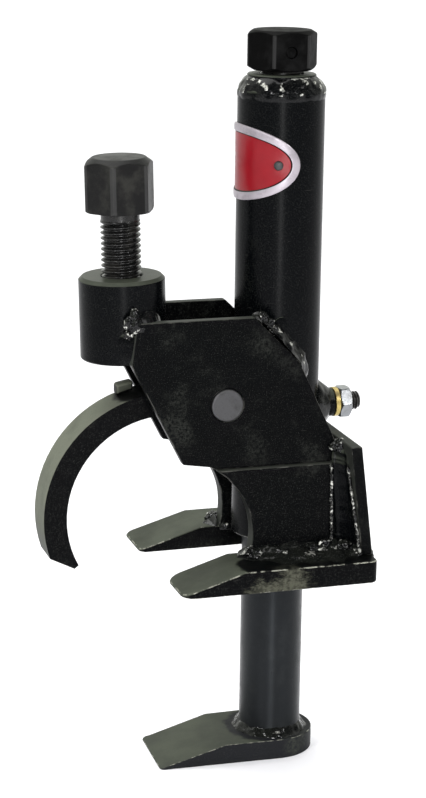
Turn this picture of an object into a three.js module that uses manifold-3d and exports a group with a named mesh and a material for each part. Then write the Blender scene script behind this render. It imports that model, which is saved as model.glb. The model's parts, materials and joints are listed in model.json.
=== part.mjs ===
// Ball joint separator: a screw-driven ram with a wedge foot, a welded fork frame and a clamped hook arm.
// Millimetres, +Z up. The origin is on the ram axis, at the underside of the foot.
// The jaws (fork prongs, foot wedge and hook) point along -X. "near" is the -Y side and "far" the +Y side.
import * as THREE from 'three';
import { mergeVertices } from 'three/addons/utils/BufferGeometryUtils.js';
import Module from 'manifold-3d';

// ---------------------------------------------------------------- driving dimensions
const FIT_GAP = 0.3; // clearance left between pieces that touch

const FORK_LIFT = 122; // underside of the fork plates above the underside of the foot

const TUBE_RADIUS = 25.4;
const TUBE_BORE_RADIUS = 19.2;
const TUBE_BOTTOM = 18; // heights from here on are above the fork's underside, unless said otherwise
const TUBE_TOP = 287;

const CAP_FLANGE_RADIUS = 20;
const CAP_TOP = 292.5;
const CAP_PLUG_LENGTH = 26;

const SCREW_RADIUS = 12.6; // main screw, 1 inch thread
const HEX_ACROSS_FLATS = 36.5;
const MAIN_HEAD_BOTTOM = 294.6;
const MAIN_HEAD_HEIGHT = 23;
const MAIN_HEAD_TURN = 58.5; // degrees from +X to a corner of the hexagon
const MAIN_HEAD_FACE_RADIUS = 16.9; // the flat left inside the chamfer at either end
const MAIN_HEAD_CHAMFER = 3; // height of the chamfer
const MAIN_DOG = { radius: 8, length: 9, chamfer: 2 }; // plain end that presses on the ram
const HEAD_PIN_RADIUS = 3.2;
const HEAD_PIN_RECESS = 0.8;
const HEAD_PIN_DROP = 0.5; // the pin's axis below the head's middle
const HEAD_SOCKET_DEPTH = 18;

const RAM_RADIUS = 18.8;
const RAM_TOP = 155;
const RAM_CHAMFER = 2;
const RAM_SPIGOT_RADIUS = 12;
const BUTTON_RADIUS = 9;
const BUTTON_SEAT = 5;
const BUTTON_CROWN = 2;
const KEYWAY_WIDTH = 9;
const KEYWAY_DEPTH = 4.5;
const RAM_TRAVEL_UP = 90;
const RAM_TRAVEL_DOWN = 1.8;

const FOOT_THICKNESS = 12.4;
const FOOT_HALF_WIDTH = 26.1;
const FOOT_TIP_X = -75.9;
const FOOT_BEND_X = -34.6;
const FOOT_TIP_THICKNESS = 1;
const FOOT_CORNER_RADIUS = 3;
const FOOT_TURN = -1.9; // degrees: the foot is welded on very slightly turned
const FOOT_SOCKET_DEPTH = 8;

const PRONG_INNER_Y = 26.1;
const PRONG_OUTER_Y = 63;
const PRONG_TIP_X = { near: -74.6, far: -76.4 };
const PRONG_CORNER_RADIUS = { near: 8, far: 5 };
const PRONG_BEND_X = -37.4;
const PRONG_TIP_THICKNESS = 2;
const FORK_THICKNESS = 13.5;
const FORK_REAR_X = 45;
const FORK_REAR_CORNER_RADIUS = 5;

const PLATE_INNER_Y = 25.7; // the plates run tangent to the tube and the boss
const SIDE_PLATE_THICKNESS = 6.35;
const LEG_PLATE_THICKNESS = 9.5;
const SEAM_Z = 67; // where the side plates stand on the leg plates
const THROAT = { x: -71.4, z: 27, radius: 47 }; // the round throat cut in the leg plates
const SIDE_PLATE_TOP = { near: 156.5, far: 155.5 };
const SIDE_PLATE_FRONT = { top: -94, knee: -97.4, kneeZ: 131.9, toe: -66.3, toeZ: 71.4 };
const SIDE_PLATE_REAR = { top: -24, middle: 3.7, middleZ: 128.8, low: 27.4, lowZ: 78.9, foot: 26.5 };
const FAR_PLATE_SETBACK = 4; // the far side plate's front corners stand back from the near one's

const REAR_PLATE_HALF_WIDTH = 52;
const REAR_PLATE_TOP = 80.6;
const REAR_PLATE_THICKNESS = 7; // measured along X
const REAR_PLATE_LEAN = 0.1257; // run along X per unit of height

const BOSS_X = -94.46;
const BOSS_MID_Z = 154.8;
const BOSS_RADIUS = 25.1;
const BOSS_HEIGHT = 48.4;
const BOSS_CHAMFER = 2;
const CLAMP_TILT = -1.53; // degrees about Y: the clamp screw's top leans out over the jaws
const CLAMP_SCREW_RADIUS = 11.6;
const CLAMP_NECK_RADIUS = 11.75;
const CLAMP_NECK_LENGTH = 5.7;
const CLAMP_HEAD_BOTTOM = 61.5; // above the middle of the boss
const CLAMP_HEAD_HEIGHT = 31.6;
const CLAMP_HEAD_TURN = 5.6;
const CLAMP_HEAD_CROWN = { height: 5, rim: 0.6, share: 0.73 }; // domed top, in to a share of the radius
const CLAMP_TIP_Z = -25; // screw tip, below the middle of the boss
const CLAMP_BALL_RADIUS = 6;
const CLAMP_BALL_STANDOUT = 2.4;

const PIVOT = { x: -40.2, z: 105.6 };
const PIVOT_PIN_RADIUS = 9.53;
const PIN_STANDOUT = 1.2;
const EYE_RADIUS = 13.2;
const ARM_HALF_WIDTH = 12.2;
const HOOK = { x: -71.4, z: 37, inner: 59.6, outer: 73.4 };
const HOOK_POINT = { x: -126.5, z: 7, innerAngle: 208, outerAngle: 198 }; // angles about the hook's middle
const HOOK_ROOT = { innerAngle: 85, outerAngle: 100 }; // where the hook runs into the eye
const EYE_SWEEP = { from: 104, to: -100 };
const PAD = { frontX: -97, rearX: -87, innerY: 3.5, outerY: 12, frontTop: 112.5, rearTop: 114.5 };

const KEY_Z = 95; // height of the key screw that rides in the ram's keyway
const KEY_SCREW_RADIUS = 5.56; // 7/16 inch
const KEY_SCREW_CHAMFER = 1.2;
const KEY_DOG_RADIUS = 4;
const KEY_DOG_CLEARANCE = 0.5; // between the dog's end and the floor of the keyway
const KEY_BOSS_RADIUS = 8.7;
const KEY_BOSS_END_X = 35.6;
const KEY_WASHER_RADIUS = 8.9;
const KEY_WASHER_THICKNESS = 3;
const KEY_NUT_ACROSS_FLATS = 17.5;
const KEY_NUT_THICKNESS = 7.2;
const KEY_NUT_TURN = 30; // degrees: a corner of the nut faces -Y
const KEY_SCREW_END_X = 52.7;

const BADGE_Z = 242.7;
const BADGE_HALF_LENGTH = 43; // along the tube's surface
const BADGE_HALF_HEIGHT = 21.9;
const BADGE_THICKNESS = 0.8;
const BADGE_STEPS = 48;
const BADGE_END_SHARE = 0.999; // the pointed ends stop just short, so that they stay solid
const RIVET_RADIUS = 2.7;
const RIVET_HEIGHT = 1.3;
const RIVET_ANGLE = 69; // degrees either side of the badge's middle

// ---------------------------------------------------------------- materials
function finish(color, roughness, metalness) {
  return new THREE.MeshStandardMaterial({ color, roughness, metalness });
}

const blackPaint = finish(0x0e0f10, 0.35, 0.2);
const darkSteel = finish(0x1b1c1c, 0.5, 0.6);
const rawSteel = finish(0x6c6c70, 0.45, 0.9);
const brightZinc = finish(0xc4c8cc, 0.3, 1);
const yellowZinc = finish(0xb29a4a, 0.35, 1);
const badgeRed = finish(0xb8222c, 0.35, 0.1);

// ---------------------------------------------------------------- solid helpers
const wasm = await Module();
wasm.setup();

const radians = (degrees) => THREE.MathUtils.degToRad(degrees);

/** A closed geometry as a solid that can be joined and cut. */
function solid(geometry) {
  const bare = geometry.clone();
  bare.deleteAttribute('normal');
  bare.deleteAttribute('uv');
  const merged = mergeVertices(bare, 1e-4);
  const index = merged.index.array;
  const kept = [];
  for (let i = 0; i < index.length; i += 3) {
    const [a, b, c] = [index[i], index[i + 1], index[i + 2]];
    if (a !== b && b !== c && c !== a) kept.push(a, b, c);
  }
  const vertProperties = new Float32Array(merged.attributes.position.array);
  return new wasm.Manifold(new wasm.Mesh({ numProp: 3, vertProperties, triVerts: new Uint32Array(kept) }));
}

/** A solid back as a geometry. */
function geometryOf(body) {
  const mesh = body.getMesh();
  const points = new Float32Array(mesh.numVert * 3);
  for (let i = 0; i < mesh.numVert; i += 1) {
    for (let k = 0; k < 3; k += 1) points[3 * i + k] = mesh.vertProperties[i * mesh.numProp + k];
  }
  const geometry = new THREE.BufferGeometry();
  geometry.setAttribute('position', new THREE.BufferAttribute(points, 3));
  geometry.setIndex(new THREE.BufferAttribute(new Uint32Array(mesh.triVerts), 1));
  geometry.computeVertexNormals();
  return geometry;
}

/** A geometry with the tools cut out of it. */
function cut(geometry, ...tools) {
  return geometryOf(tools.reduce((body, tool) => body.subtract(solid(tool)), solid(geometry)));
}

/** The part that two geometries share. */
function shared(geometry, other) {
  return geometryOf(solid(geometry).intersect(solid(other)));
}

/** Turned about +Z from [radius, z] points, given anticlockwise so that the faces point out. */
function turned(profile, segments = 40) {
  const points = profile.map(([r, z]) => new THREE.Vector2(r, z));
  return new THREE.LatheGeometry(points, segments).rotateX(Math.PI / 2);
}

/** A ring from a closed [radius, z] profile. */
function ring(inner, outer, bottom, top, segments = 40) {
  return turned([[inner, bottom], [outer, bottom], [outer, top], [inner, top], [inner, bottom]], segments);
}

/** A plain round bar along +Z. */
function bar(radius, bottom, top, segments = 32) {
  return turned([[0, bottom], [radius, bottom], [radius, top], [0, top]], segments);
}

/** The same bar laid along +X. */
function barAlongX(radius, start, end, segments = 24) {
  return bar(radius, start, end, segments).rotateY(Math.PI / 2);
}

/** Points of an arc, from one angle in degrees to the other. */
function arc(x, y, radius, from, to, steps) {
  const points = [];
  for (let i = 0; i <= steps; i += 1) {
    const angle = radians(from + ((to - from) * i) / steps);
    points.push([x + radius * Math.cos(angle), y + radius * Math.sin(angle)]);
  }
  return points;
}

/** A polygon whose corners, given as [x, y, radius], are rounded. */
function rounded(corners, steps = 4) {
  const outline = [];
  const cornerAt = (i) => new THREE.Vector2(...corners.at(i % corners.length).slice(0, 2));
  corners.forEach(([x, y, radius = 0], i) => {
    if (radius === 0) {
      outline.push([x, y]);
      return;
    }
    const here = cornerAt(i);
    const before = cornerAt(i - 1).sub(here).normalize();
    const after = cornerAt(i + 1).sub(here).normalize();
    const halfAngle = Math.acos(THREE.MathUtils.clamp(before.dot(after), -1, 1)) / 2;
    const reach = radius / Math.tan(halfAngle);
    const start = here.clone().addScaledVector(before, reach);
    const end = here.clone().addScaledVector(after, reach);
    const inward = before.clone().add(after).normalize();
    const middle = here.clone().addScaledVector(inward, radius / Math.sin(halfAngle));
    const first = start.sub(middle).angle();
    let sweep = end.sub(middle).angle() - first;
    if (sweep > Math.PI) sweep -= 2 * Math.PI;
    if (sweep < -Math.PI) sweep += 2 * Math.PI;
    for (let k = 0; k <= steps; k += 1) {
      const angle = first + (sweep * k) / steps;
      outline.push([middle.x + radius * Math.cos(angle), middle.y + radius * Math.sin(angle)]);
    }
  });
  return outline;
}

function shapeOf(outline) {
  return new THREE.Shape(outline.map(([x, y]) => new THREE.Vector2(x, y)));
}

function roundHole(x, y, radius, steps = 32) {
  const outline = arc(x, y, radius, 0, 360, steps).slice(0, -1);
  return new THREE.Path(outline.map(([u, v]) => new THREE.Vector2(u, v)));
}

/** A plate seen from the side: an outline in X and Z, as thick as from lowY to highY. */
function uprightPlate(outline, lowY, highY, holes = []) {
  const shape = shapeOf(outline);
  shape.holes.push(...holes);
  const geometry = new THREE.ExtrudeGeometry(shape, { depth: highY - lowY, bevelEnabled: false });
  return geometry.rotateX(Math.PI / 2).translate(0, highY, 0);
}

/** A plate seen from above: an outline in X and Y, from one height to the other. */
function flatPlate(outline, bottom, top) {
  const geometry = new THREE.ExtrudeGeometry(shapeOf(outline), { depth: top - bottom, bevelEnabled: false });
  return geometry.translate(0, 0, bottom);
}

/** A hexagon bar along +Z, trimmed by a turned outline so that its corners are chamfered. */
function hexagonBar(acrossFlats, turn, trim) {
  const corner = acrossFlats / Math.sqrt(3);
  const bottom = Math.min(...trim.map(([, z]) => z)) - 1;
  const top = Math.max(...trim.map(([, z]) => z)) + 1;
  return shared(flatPlate(arc(0, 0, corner, turn, turn + 300, 5), bottom, top), turned(trim, 48));
}

function mesh(name, geometry, material) {
  const node = new THREE.Mesh(geometry, material);
  node.name = name;
  return node;
}

// ---------------------------------------------------------------- welded fork frame
/** X of the rear plate's front face at a height. */
const rearPlateFrontX = (z) => FORK_REAR_X - REAR_PLATE_THICKNESS - (z - FORK_THICKNESS) * REAR_PLATE_LEAN;

/** Where the throat's edge is at a height, as an angle in degrees about the throat's middle. */
const throatAngle = (z) => THREE.MathUtils.radToDeg(Math.asin((z - THROAT.z) / THROAT.radius));

function forkPlate(name, side) {
  const tip = PRONG_TIP_X[name];
  const corner = PRONG_CORNER_RADIUS[name];
  const wedge = [
    [tip, 0], [FORK_REAR_X, 0], [FORK_REAR_X, FORK_THICKNESS],
    [PRONG_BEND_X, FORK_THICKNESS], [tip, PRONG_TIP_THICKNESS],
  ];
  const [inner, outer] = [side * PRONG_INNER_Y, side * PRONG_OUTER_Y];
  const plan = rounded([
    [tip, inner, corner], [tip, outer, corner],
    [FORK_REAR_X, outer, FORK_REAR_CORNER_RADIUS], [FORK_REAR_X, inner],
  ]);
  const outline = side > 0 ? plan.reverse() : plan;
  const blank = uprightPlate(wedge, Math.min(inner, outer) - 1, Math.max(inner, outer) + 1);
  return shared(blank, flatPlate(outline, -1, FORK_THICKNESS + 1));
}

function legPlate(side) {
  const bottom = FORK_THICKNESS + FIT_GAP;
  const outline = [
    ...arc(THROAT.x, THROAT.z, THROAT.radius, throatAngle(bottom), throatAngle(SEAM_Z), 16),
    [rearPlateFrontX(SEAM_Z) - FIT_GAP, SEAM_Z],
    [rearPlateFrontX(bottom) - FIT_GAP, bottom],
  ];
  const faces = [side * PLATE_INNER_Y, side * (PLATE_INNER_Y + LEG_PLATE_THICKNESS)];
  return uprightPlate(outline, Math.min(...faces), Math.max(...faces));
}

function sidePlate(name, side) {
  const bottom = SEAM_Z + FIT_GAP;
  const top = SIDE_PLATE_TOP[name];
  const setback = side > 0 ? FAR_PLATE_SETBACK : 0;
  const [front, rear] = [SIDE_PLATE_FRONT, SIDE_PLATE_REAR];
  const throat = throatAngle(bottom);
  const outline = [
    [front.toe + setback, front.toeZ],
    ...arc(THROAT.x, THROAT.z, THROAT.radius, throat + 4, throat, 2),
    [rear.foot, bottom], [rear.low, rear.lowZ], [rear.middle, rear.middleZ], [rear.top, top],
    [front.top + setback, top], [front.knee + setback, front.kneeZ],
  ];
  const faces = [side * PLATE_INNER_Y, side * (PLATE_INNER_Y + SIDE_PLATE_THICKNESS)];
  const pinHole = roundHole(PIVOT.x, PIVOT.z, PIVOT_PIN_RADIUS + FIT_GAP);
  return uprightPlate(outline, Math.min(...faces), Math.max(...faces), [pinHole]);
}

function rearPlate() {
  const bottom = FORK_THICKNESS + FIT_GAP;
  const outline = [
    [rearPlateFrontX(bottom), bottom],
    [rearPlateFrontX(bottom) + REAR_PLATE_THICKNESS, bottom],
    [rearPlateFrontX(REAR_PLATE_TOP) + REAR_PLATE_THICKNESS, REAR_PLATE_TOP],
    [rearPlateFrontX(REAR_PLATE_TOP), REAR_PLATE_TOP],
  ];
  return uprightPlate(outline, -REAR_PLATE_HALF_WIDTH, REAR_PLATE_HALF_WIDTH);
}

function ramTube() {
  const keyHole = barAlongX(KEY_SCREW_RADIUS + FIT_GAP, 0, TUBE_RADIUS + 5).translate(0, 0, KEY_Z);
  return cut(ring(TUBE_BORE_RADIUS, TUBE_RADIUS, TUBE_BOTTOM, TUBE_TOP, 48), keyHole);
}

function tubeCap() {
  const bore = SCREW_RADIUS + FIT_GAP;
  const shoulder = TUBE_TOP + FIT_GAP;
  const plug = TUBE_BORE_RADIUS - FIT_GAP;
  return turned([
    [bore, TUBE_TOP - CAP_PLUG_LENGTH], [plug, TUBE_TOP - CAP_PLUG_LENGTH], [plug, shoulder],
    [CAP_FLANGE_RADIUS + 2, shoulder], [CAP_FLANGE_RADIUS + 2, shoulder + 2], [CAP_FLANGE_RADIUS, CAP_TOP],
    [bore, CAP_TOP], [bore, TUBE_TOP - CAP_PLUG_LENGTH],
  ]);
}

function clampBoss() {
  const half = BOSS_HEIGHT / 2;
  const bore = CLAMP_SCREW_RADIUS + FIT_GAP;
  const edge = BOSS_CHAMFER / 2; // the lower edge is sharper
  return turned([
    [bore, -half], [BOSS_RADIUS - edge, -half], [BOSS_RADIUS, edge - half],
    [BOSS_RADIUS, half - BOSS_CHAMFER], [BOSS_RADIUS - BOSS_CHAMFER, half], [bore, half], [bore, -half],
  ], 48);
}

// ---------------------------------------------------------------- key screw that keeps the ram from turning
/** A ring about the key screw's axis, between two places along X. */
function keyRing(outer, start, end, segments = 32) {
  const upright = ring(KEY_SCREW_RADIUS + FIT_GAP, outer, start, end, segments);
  return upright.rotateY(Math.PI / 2).translate(0, 0, KEY_Z);
}

function keyBoss() {
  const saddle = bar(TUBE_RADIUS + FIT_GAP, KEY_Z - 2 * KEY_BOSS_RADIUS, KEY_Z + 2 * KEY_BOSS_RADIUS, 48);
  return cut(keyRing(KEY_BOSS_RADIUS, TUBE_BORE_RADIUS, KEY_BOSS_END_X), saddle);
}

function keyScrew() {
  const dogEnd = RAM_RADIUS - KEYWAY_DEPTH + KEY_DOG_CLEARANCE;
  const threadStart = TUBE_BORE_RADIUS + FIT_GAP;
  const upright = turned([
    [0, dogEnd], [KEY_DOG_RADIUS, dogEnd], [KEY_DOG_RADIUS, threadStart],
    [KEY_SCREW_RADIUS, threadStart + KEY_SCREW_CHAMFER],
    [KEY_SCREW_RADIUS, KEY_SCREW_END_X - KEY_SCREW_CHAMFER],
    [KEY_SCREW_RADIUS - KEY_SCREW_CHAMFER, KEY_SCREW_END_X], [0, KEY_SCREW_END_X],
  ], 28);
  return upright.rotateY(Math.PI / 2).translate(0, 0, KEY_Z);
}

function keyWasher() {
  const start = KEY_BOSS_END_X + FIT_GAP;
  return keyRing(KEY_WASHER_RADIUS, start, start + KEY_WASHER_THICKNESS);
}

function keyNut() {
  const start = KEY_BOSS_END_X + KEY_WASHER_THICKNESS + 2 * FIT_GAP;
  const end = start + KEY_NUT_THICKNESS;
  const corner = KEY_NUT_ACROSS_FLATS / Math.sqrt(3) + 0.1;
  const face = KEY_NUT_ACROSS_FLATS / 2;
  const trim = [[0, start], [face, start], [corner, start + 1], [corner, end - 1], [face, end], [0, end]];
  const blank = hexagonBar(KEY_NUT_ACROSS_FLATS, KEY_NUT_TURN, trim);
  const drilled = cut(blank, bar(KEY_SCREW_RADIUS + FIT_GAP, start - 2, end + 2, 28));
  return drilled.rotateY(Math.PI / 2).translate(0, 0, KEY_Z);
}

// ---------------------------------------------------------------- ram, foot and main screw
/** Heights in this section are above the foot's underside. */
function ram() {
  const top = FORK_LIFT + RAM_TOP;
  const shoulder = FOOT_THICKNESS + FIT_GAP;
  const spigotEnd = FOOT_THICKNESS - FOOT_SOCKET_DEPTH + FIT_GAP;
  const seat = BUTTON_RADIUS + FIT_GAP;
  const body = turned([
    [0, spigotEnd], [RAM_SPIGOT_RADIUS, spigotEnd], [RAM_SPIGOT_RADIUS, shoulder], [RAM_RADIUS, shoulder],
    [RAM_RADIUS, top - RAM_CHAMFER], [RAM_RADIUS - RAM_CHAMFER, top],
    [seat, top], [seat, top - BUTTON_SEAT], [0, top - BUTTON_SEAT],
  ], 48);
  const keyHeight = FORK_LIFT + KEY_Z;
  const slotBottom = keyHeight - RAM_TRAVEL_UP - 2 * KEY_DOG_RADIUS;
  const slotTop = keyHeight + RAM_TRAVEL_DOWN + 2 * KEY_DOG_RADIUS;
  const keyway = new THREE.BoxGeometry(2 * KEYWAY_DEPTH, KEYWAY_WIDTH, slotTop - slotBottom);
  keyway.translate(RAM_RADIUS, 0, (slotTop + slotBottom) / 2);
  return cut(body, keyway);
}

function thrustButton() {
  const seat = FORK_LIFT + RAM_TOP - BUTTON_SEAT + FIT_GAP;
  const crown = FORK_LIFT + RAM_TOP + BUTTON_CROWN;
  return turned([
    [0, seat], [BUTTON_RADIUS, seat], [BUTTON_RADIUS, crown - BUTTON_CROWN / 2],
    [BUTTON_RADIUS - BUTTON_CROWN, crown], [0, crown],
  ], 28);
}

function ramFoot() {
  const wedge = [
    [FOOT_TIP_X, 0], [FOOT_HALF_WIDTH + 1, 0], [FOOT_HALF_WIDTH + 1, FOOT_THICKNESS],
    [FOOT_BEND_X, FOOT_THICKNESS], [FOOT_TIP_X, FOOT_TIP_THICKNESS],
  ];
  const plan = [
    ...rounded([
      [FOOT_TIP_X, FOOT_HALF_WIDTH, FOOT_CORNER_RADIUS], [FOOT_TIP_X, -FOOT_HALF_WIDTH, FOOT_CORNER_RADIUS],
      [0, -FOOT_HALF_WIDTH],
    ]),
    ...arc(0, 0, FOOT_HALF_WIDTH, -86, 90, 22),
  ];
  const blank = shared(
    uprightPlate(wedge, -FOOT_HALF_WIDTH - 1, FOOT_HALF_WIDTH + 1),
    flatPlate(plan, -1, FOOT_THICKNESS + 1),
  );
  const socket = bar(RAM_SPIGOT_RADIUS + FIT_GAP, FOOT_THICKNESS - FOOT_SOCKET_DEPTH, FOOT_THICKNESS + 1);
  return cut(blank, socket).rotateZ(radians(FOOT_TURN));
}

/** The pin that holds the head on the main screw, as a bar across the head through two of its flats. */
function headPinBar(radius, halfLength) {
  const height = FORK_LIFT + MAIN_HEAD_BOTTOM + MAIN_HEAD_HEIGHT / 2 - HEAD_PIN_DROP;
  const bar = barAlongX(radius, -halfLength, halfLength, 20);
  return bar.rotateZ(radians(MAIN_HEAD_TURN + 30)).translate(0, 0, height);
}

const headPinHole = () => headPinBar(HEAD_PIN_RADIUS + FIT_GAP, HEX_ACROSS_FLATS);

function mainScrewRod() {
  const tip = FORK_LIFT + RAM_TOP + BUTTON_CROWN + FIT_GAP;
  const top = FORK_LIFT + MAIN_HEAD_BOTTOM + HEAD_SOCKET_DEPTH - FIT_GAP;
  const { radius, length, chamfer } = MAIN_DOG;
  const rod = turned([
    [0, tip], [radius - chamfer, tip], [radius, tip + chamfer], [radius, tip + length],
    [SCREW_RADIUS - chamfer, tip + length], [SCREW_RADIUS, tip + length + chamfer],
    [SCREW_RADIUS, top], [0, top],
  ]);
  return cut(rod, headPinHole());
}

function mainScrewHead() {
  const bottom = FORK_LIFT + MAIN_HEAD_BOTTOM;
  const top = bottom + MAIN_HEAD_HEIGHT;
  const corner = HEX_ACROSS_FLATS / Math.sqrt(3) + 0.1;
  const trim = [
    [0, bottom], [MAIN_HEAD_FACE_RADIUS, bottom], [corner, bottom + MAIN_HEAD_CHAMFER],
    [corner, top - MAIN_HEAD_CHAMFER], [MAIN_HEAD_FACE_RADIUS, top], [0, top],
  ];
  const blank = hexagonBar(HEX_ACROSS_FLATS, MAIN_HEAD_TURN, trim);
  const socket = bar(SCREW_RADIUS + FIT_GAP, bottom - 1, bottom + HEAD_SOCKET_DEPTH);
  return cut(blank, socket, headPinHole());
}

// ---------------------------------------------------------------- clamp screw and hook arm
/** Heights of the clamp screw are above the middle of the boss, along the tilted axis. */
function clampScrew() {
  const bottom = CLAMP_HEAD_BOTTOM;
  const top = bottom + CLAMP_HEAD_HEIGHT;
  const corner = HEX_ACROSS_FLATS / Math.sqrt(3) + 0.1;
  const { height, rim, share } = CLAMP_HEAD_CROWN;
  const trim = [
    [0, bottom], [corner, bottom], [corner, top - height], [corner * share, top - rim], [0, top],
  ];
  const head = hexagonBar(HEX_ACROSS_FLATS, CLAMP_HEAD_TURN, trim);
  const neckBottom = bottom - CLAMP_NECK_LENGTH;
  const shank = turned([
    [0, CLAMP_TIP_Z], [CLAMP_SCREW_RADIUS - 2, CLAMP_TIP_Z], [CLAMP_SCREW_RADIUS, CLAMP_TIP_Z + 2],
    [CLAMP_SCREW_RADIUS, neckBottom], [CLAMP_NECK_RADIUS, neckBottom + 0.5], [CLAMP_NECK_RADIUS, bottom + 1],
    [0, bottom + 1],
  ]);
  return cut(geometryOf(solid(head).add(solid(shank))), clampBall(CLAMP_BALL_RADIUS + FIT_GAP));
}

/** A ball in the clamp screw's tip, turned from a half circle. */
function clampBall(radius) {
  const middle = CLAMP_TIP_Z - CLAMP_BALL_STANDOUT + CLAMP_BALL_RADIUS;
  const half = arc(0, 0, radius, -90, 90, 12).map(([r, z]) => [r, z + middle]);
  half[0][0] = 0;
  half.at(-1)[0] = 0;
  return turned(half, 24);
}

function hookArm() {
  const outline = [
    ...arc(HOOK.x, HOOK.z, HOOK.outer, HOOK_POINT.outerAngle, HOOK_ROOT.outerAngle, 22),
    ...arc(PIVOT.x, PIVOT.z, EYE_RADIUS, EYE_SWEEP.from, EYE_SWEEP.to, 18),
    ...arc(HOOK.x, HOOK.z, HOOK.inner, HOOK_ROOT.innerAngle, HOOK_POINT.innerAngle, 24),
    [HOOK_POINT.x, HOOK_POINT.z],
  ].reverse();
  const eye = roundHole(PIVOT.x, PIVOT.z, PIVOT_PIN_RADIUS + FIT_GAP);
  return uprightPlate(outline, -ARM_HALF_WIDTH, ARM_HALF_WIDTH, [eye]);
}

/** A small lug on the hook's back. */
function armPad() {
  const radius = HOOK.outer + FIT_GAP;
  const angleAt = (x) => THREE.MathUtils.radToDeg(Math.acos((x - HOOK.x) / radius));
  const outline = [
    ...arc(HOOK.x, HOOK.z, radius, angleAt(PAD.frontX), angleAt(PAD.rearX), 5),
    [PAD.rearX, PAD.rearTop], [PAD.frontX, PAD.frontTop],
  ];
  return uprightPlate(outline, PAD.innerY, PAD.outerY);
}

function pivotPin() {
  const end = PLATE_INNER_Y + SIDE_PLATE_THICKNESS + PIN_STANDOUT;
  const edge = 0.8;
  const pin = turned([
    [0, -end], [PIVOT_PIN_RADIUS - edge, -end], [PIVOT_PIN_RADIUS, edge - end],
    [PIVOT_PIN_RADIUS, end - edge], [PIVOT_PIN_RADIUS - edge, end], [0, end],
  ], 32);
  return pin.rotateX(Math.PI / 2).translate(PIVOT.x, 0, PIVOT.z);
}

function pivotSpacer(side) {
  const ends = [side * (ARM_HALF_WIDTH + FIT_GAP), side * (PLATE_INNER_Y - FIT_GAP)];
  const spacer = ring(PIVOT_PIN_RADIUS + FIT_GAP, EYE_RADIUS, -Math.max(...ends), -Math.min(...ends), 32);
  return spacer.rotateX(Math.PI / 2).translate(PIVOT.x, 0, PIVOT.z);
}

// ---------------------------------------------------------------- plain badge, wrapped round the tube
/** A closed curved plate between two radii: four corners stand at each step along the badge. */
function badgePlate() {
  const inner = TUBE_RADIUS + FIT_GAP;
  const outer = inner + BADGE_THICKNESS;
  const reach = BADGE_HALF_LENGTH / TUBE_RADIUS;
  const points = [];
  for (let i = 0; i <= BADGE_STEPS; i += 1) {
    const along = -Math.cos((Math.PI * i) / BADGE_STEPS) * BADGE_END_SHARE;
    const angle = Math.PI + along * reach;
    const height = BADGE_HALF_HEIGHT * Math.sqrt(1 - along * along);
    for (const [radius, z] of [[inner, -height], [outer, -height], [outer, height], [inner, height]]) {
      points.push(radius * Math.cos(angle), radius * Math.sin(angle), BADGE_Z + z);
    }
  }
  const faces = [0, 1, 2, 0, 2, 3];
  for (let i = 0; i < BADGE_STEPS; i += 1) {
    for (let k = 0; k < 4; k += 1) {
      const [a, b] = [4 * i + k, 4 * i + ((k + 1) % 4)];
      faces.push(a, b + 4, b, a, a + 4, b + 4);
    }
  }
  const last = 4 * BADGE_STEPS;
  faces.push(last, last + 2, last + 1, last, last + 3, last + 2);
  const geometry = new THREE.BufferGeometry();
  geometry.setAttribute('position', new THREE.BufferAttribute(new Float32Array(points), 3));
  geometry.setIndex(faces);
  geometry.computeVertexNormals();
  return geometry;
}

function badgeRivet(side) {
  const base = TUBE_RADIUS + 2 * FIT_GAP + BADGE_THICKNESS;
  const top = base + RIVET_HEIGHT;
  const rivet = turned([
    [0, base], [RIVET_RADIUS, base], [0.8 * RIVET_RADIUS, top - RIVET_HEIGHT / 4], [0, top],
  ], 16);
  const turn = Math.PI + side * radians(RIVET_ANGLE);
  return rivet.rotateY(Math.PI / 2).rotateZ(turn).translate(0, 0, BADGE_Z);
}

// ---------------------------------------------------------------- assembly
const ballJointSeparator = new THREE.Group();

const frame = new THREE.Group(); // heights above the fork's underside
frame.position.z = FORK_LIFT;
for (const [name, side] of [['near', -1], ['far', 1]]) {
  frame.add(mesh(`fork_plate_${name}`, forkPlate(name, side), blackPaint));
  frame.add(mesh(`leg_plate_${name}`, legPlate(side), blackPaint));
  frame.add(mesh(`side_plate_${name}`, sidePlate(name, side), blackPaint));
  frame.add(mesh(`pivot_spacer_${name}`, pivotSpacer(side), darkSteel));
  frame.add(mesh(`badge_rivet_${name}`, badgeRivet(-side), rawSteel));
}
frame.add(mesh('rear_plate', rearPlate(), blackPaint));
frame.add(mesh('ram_tube', ramTube(), blackPaint));
frame.add(mesh('tube_cap', tubeCap(), blackPaint));
frame.add(mesh('key_boss', keyBoss(), blackPaint));
frame.add(mesh('key_screw', keyScrew(), darkSteel));
frame.add(mesh('key_washer', keyWasher(), yellowZinc));
frame.add(mesh('key_nut', keyNut(), brightZinc));
frame.add(mesh('pivot_pin', pivotPin(), rawSteel));
frame.add(mesh('badge_plate', badgePlate(), badgeRed));
frame.add(mesh('hook_arm', hookArm(), blackPaint));
frame.add(mesh('arm_pad', armPad(), blackPaint));
ballJointSeparator.add(frame);

const clamp = new THREE.Group(); // heights above the middle of the boss
clamp.position.set(BOSS_X, 0, FORK_LIFT + BOSS_MID_Z);
clamp.rotation.y = radians(CLAMP_TILT);
clamp.add(mesh('clamp_boss', clampBoss(), blackPaint));
clamp.add(mesh('clamp_screw', clampScrew(), darkSteel));
clamp.add(mesh('clamp_ball', clampBall(CLAMP_BALL_RADIUS), rawSteel));
ballJointSeparator.add(clamp);

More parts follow.
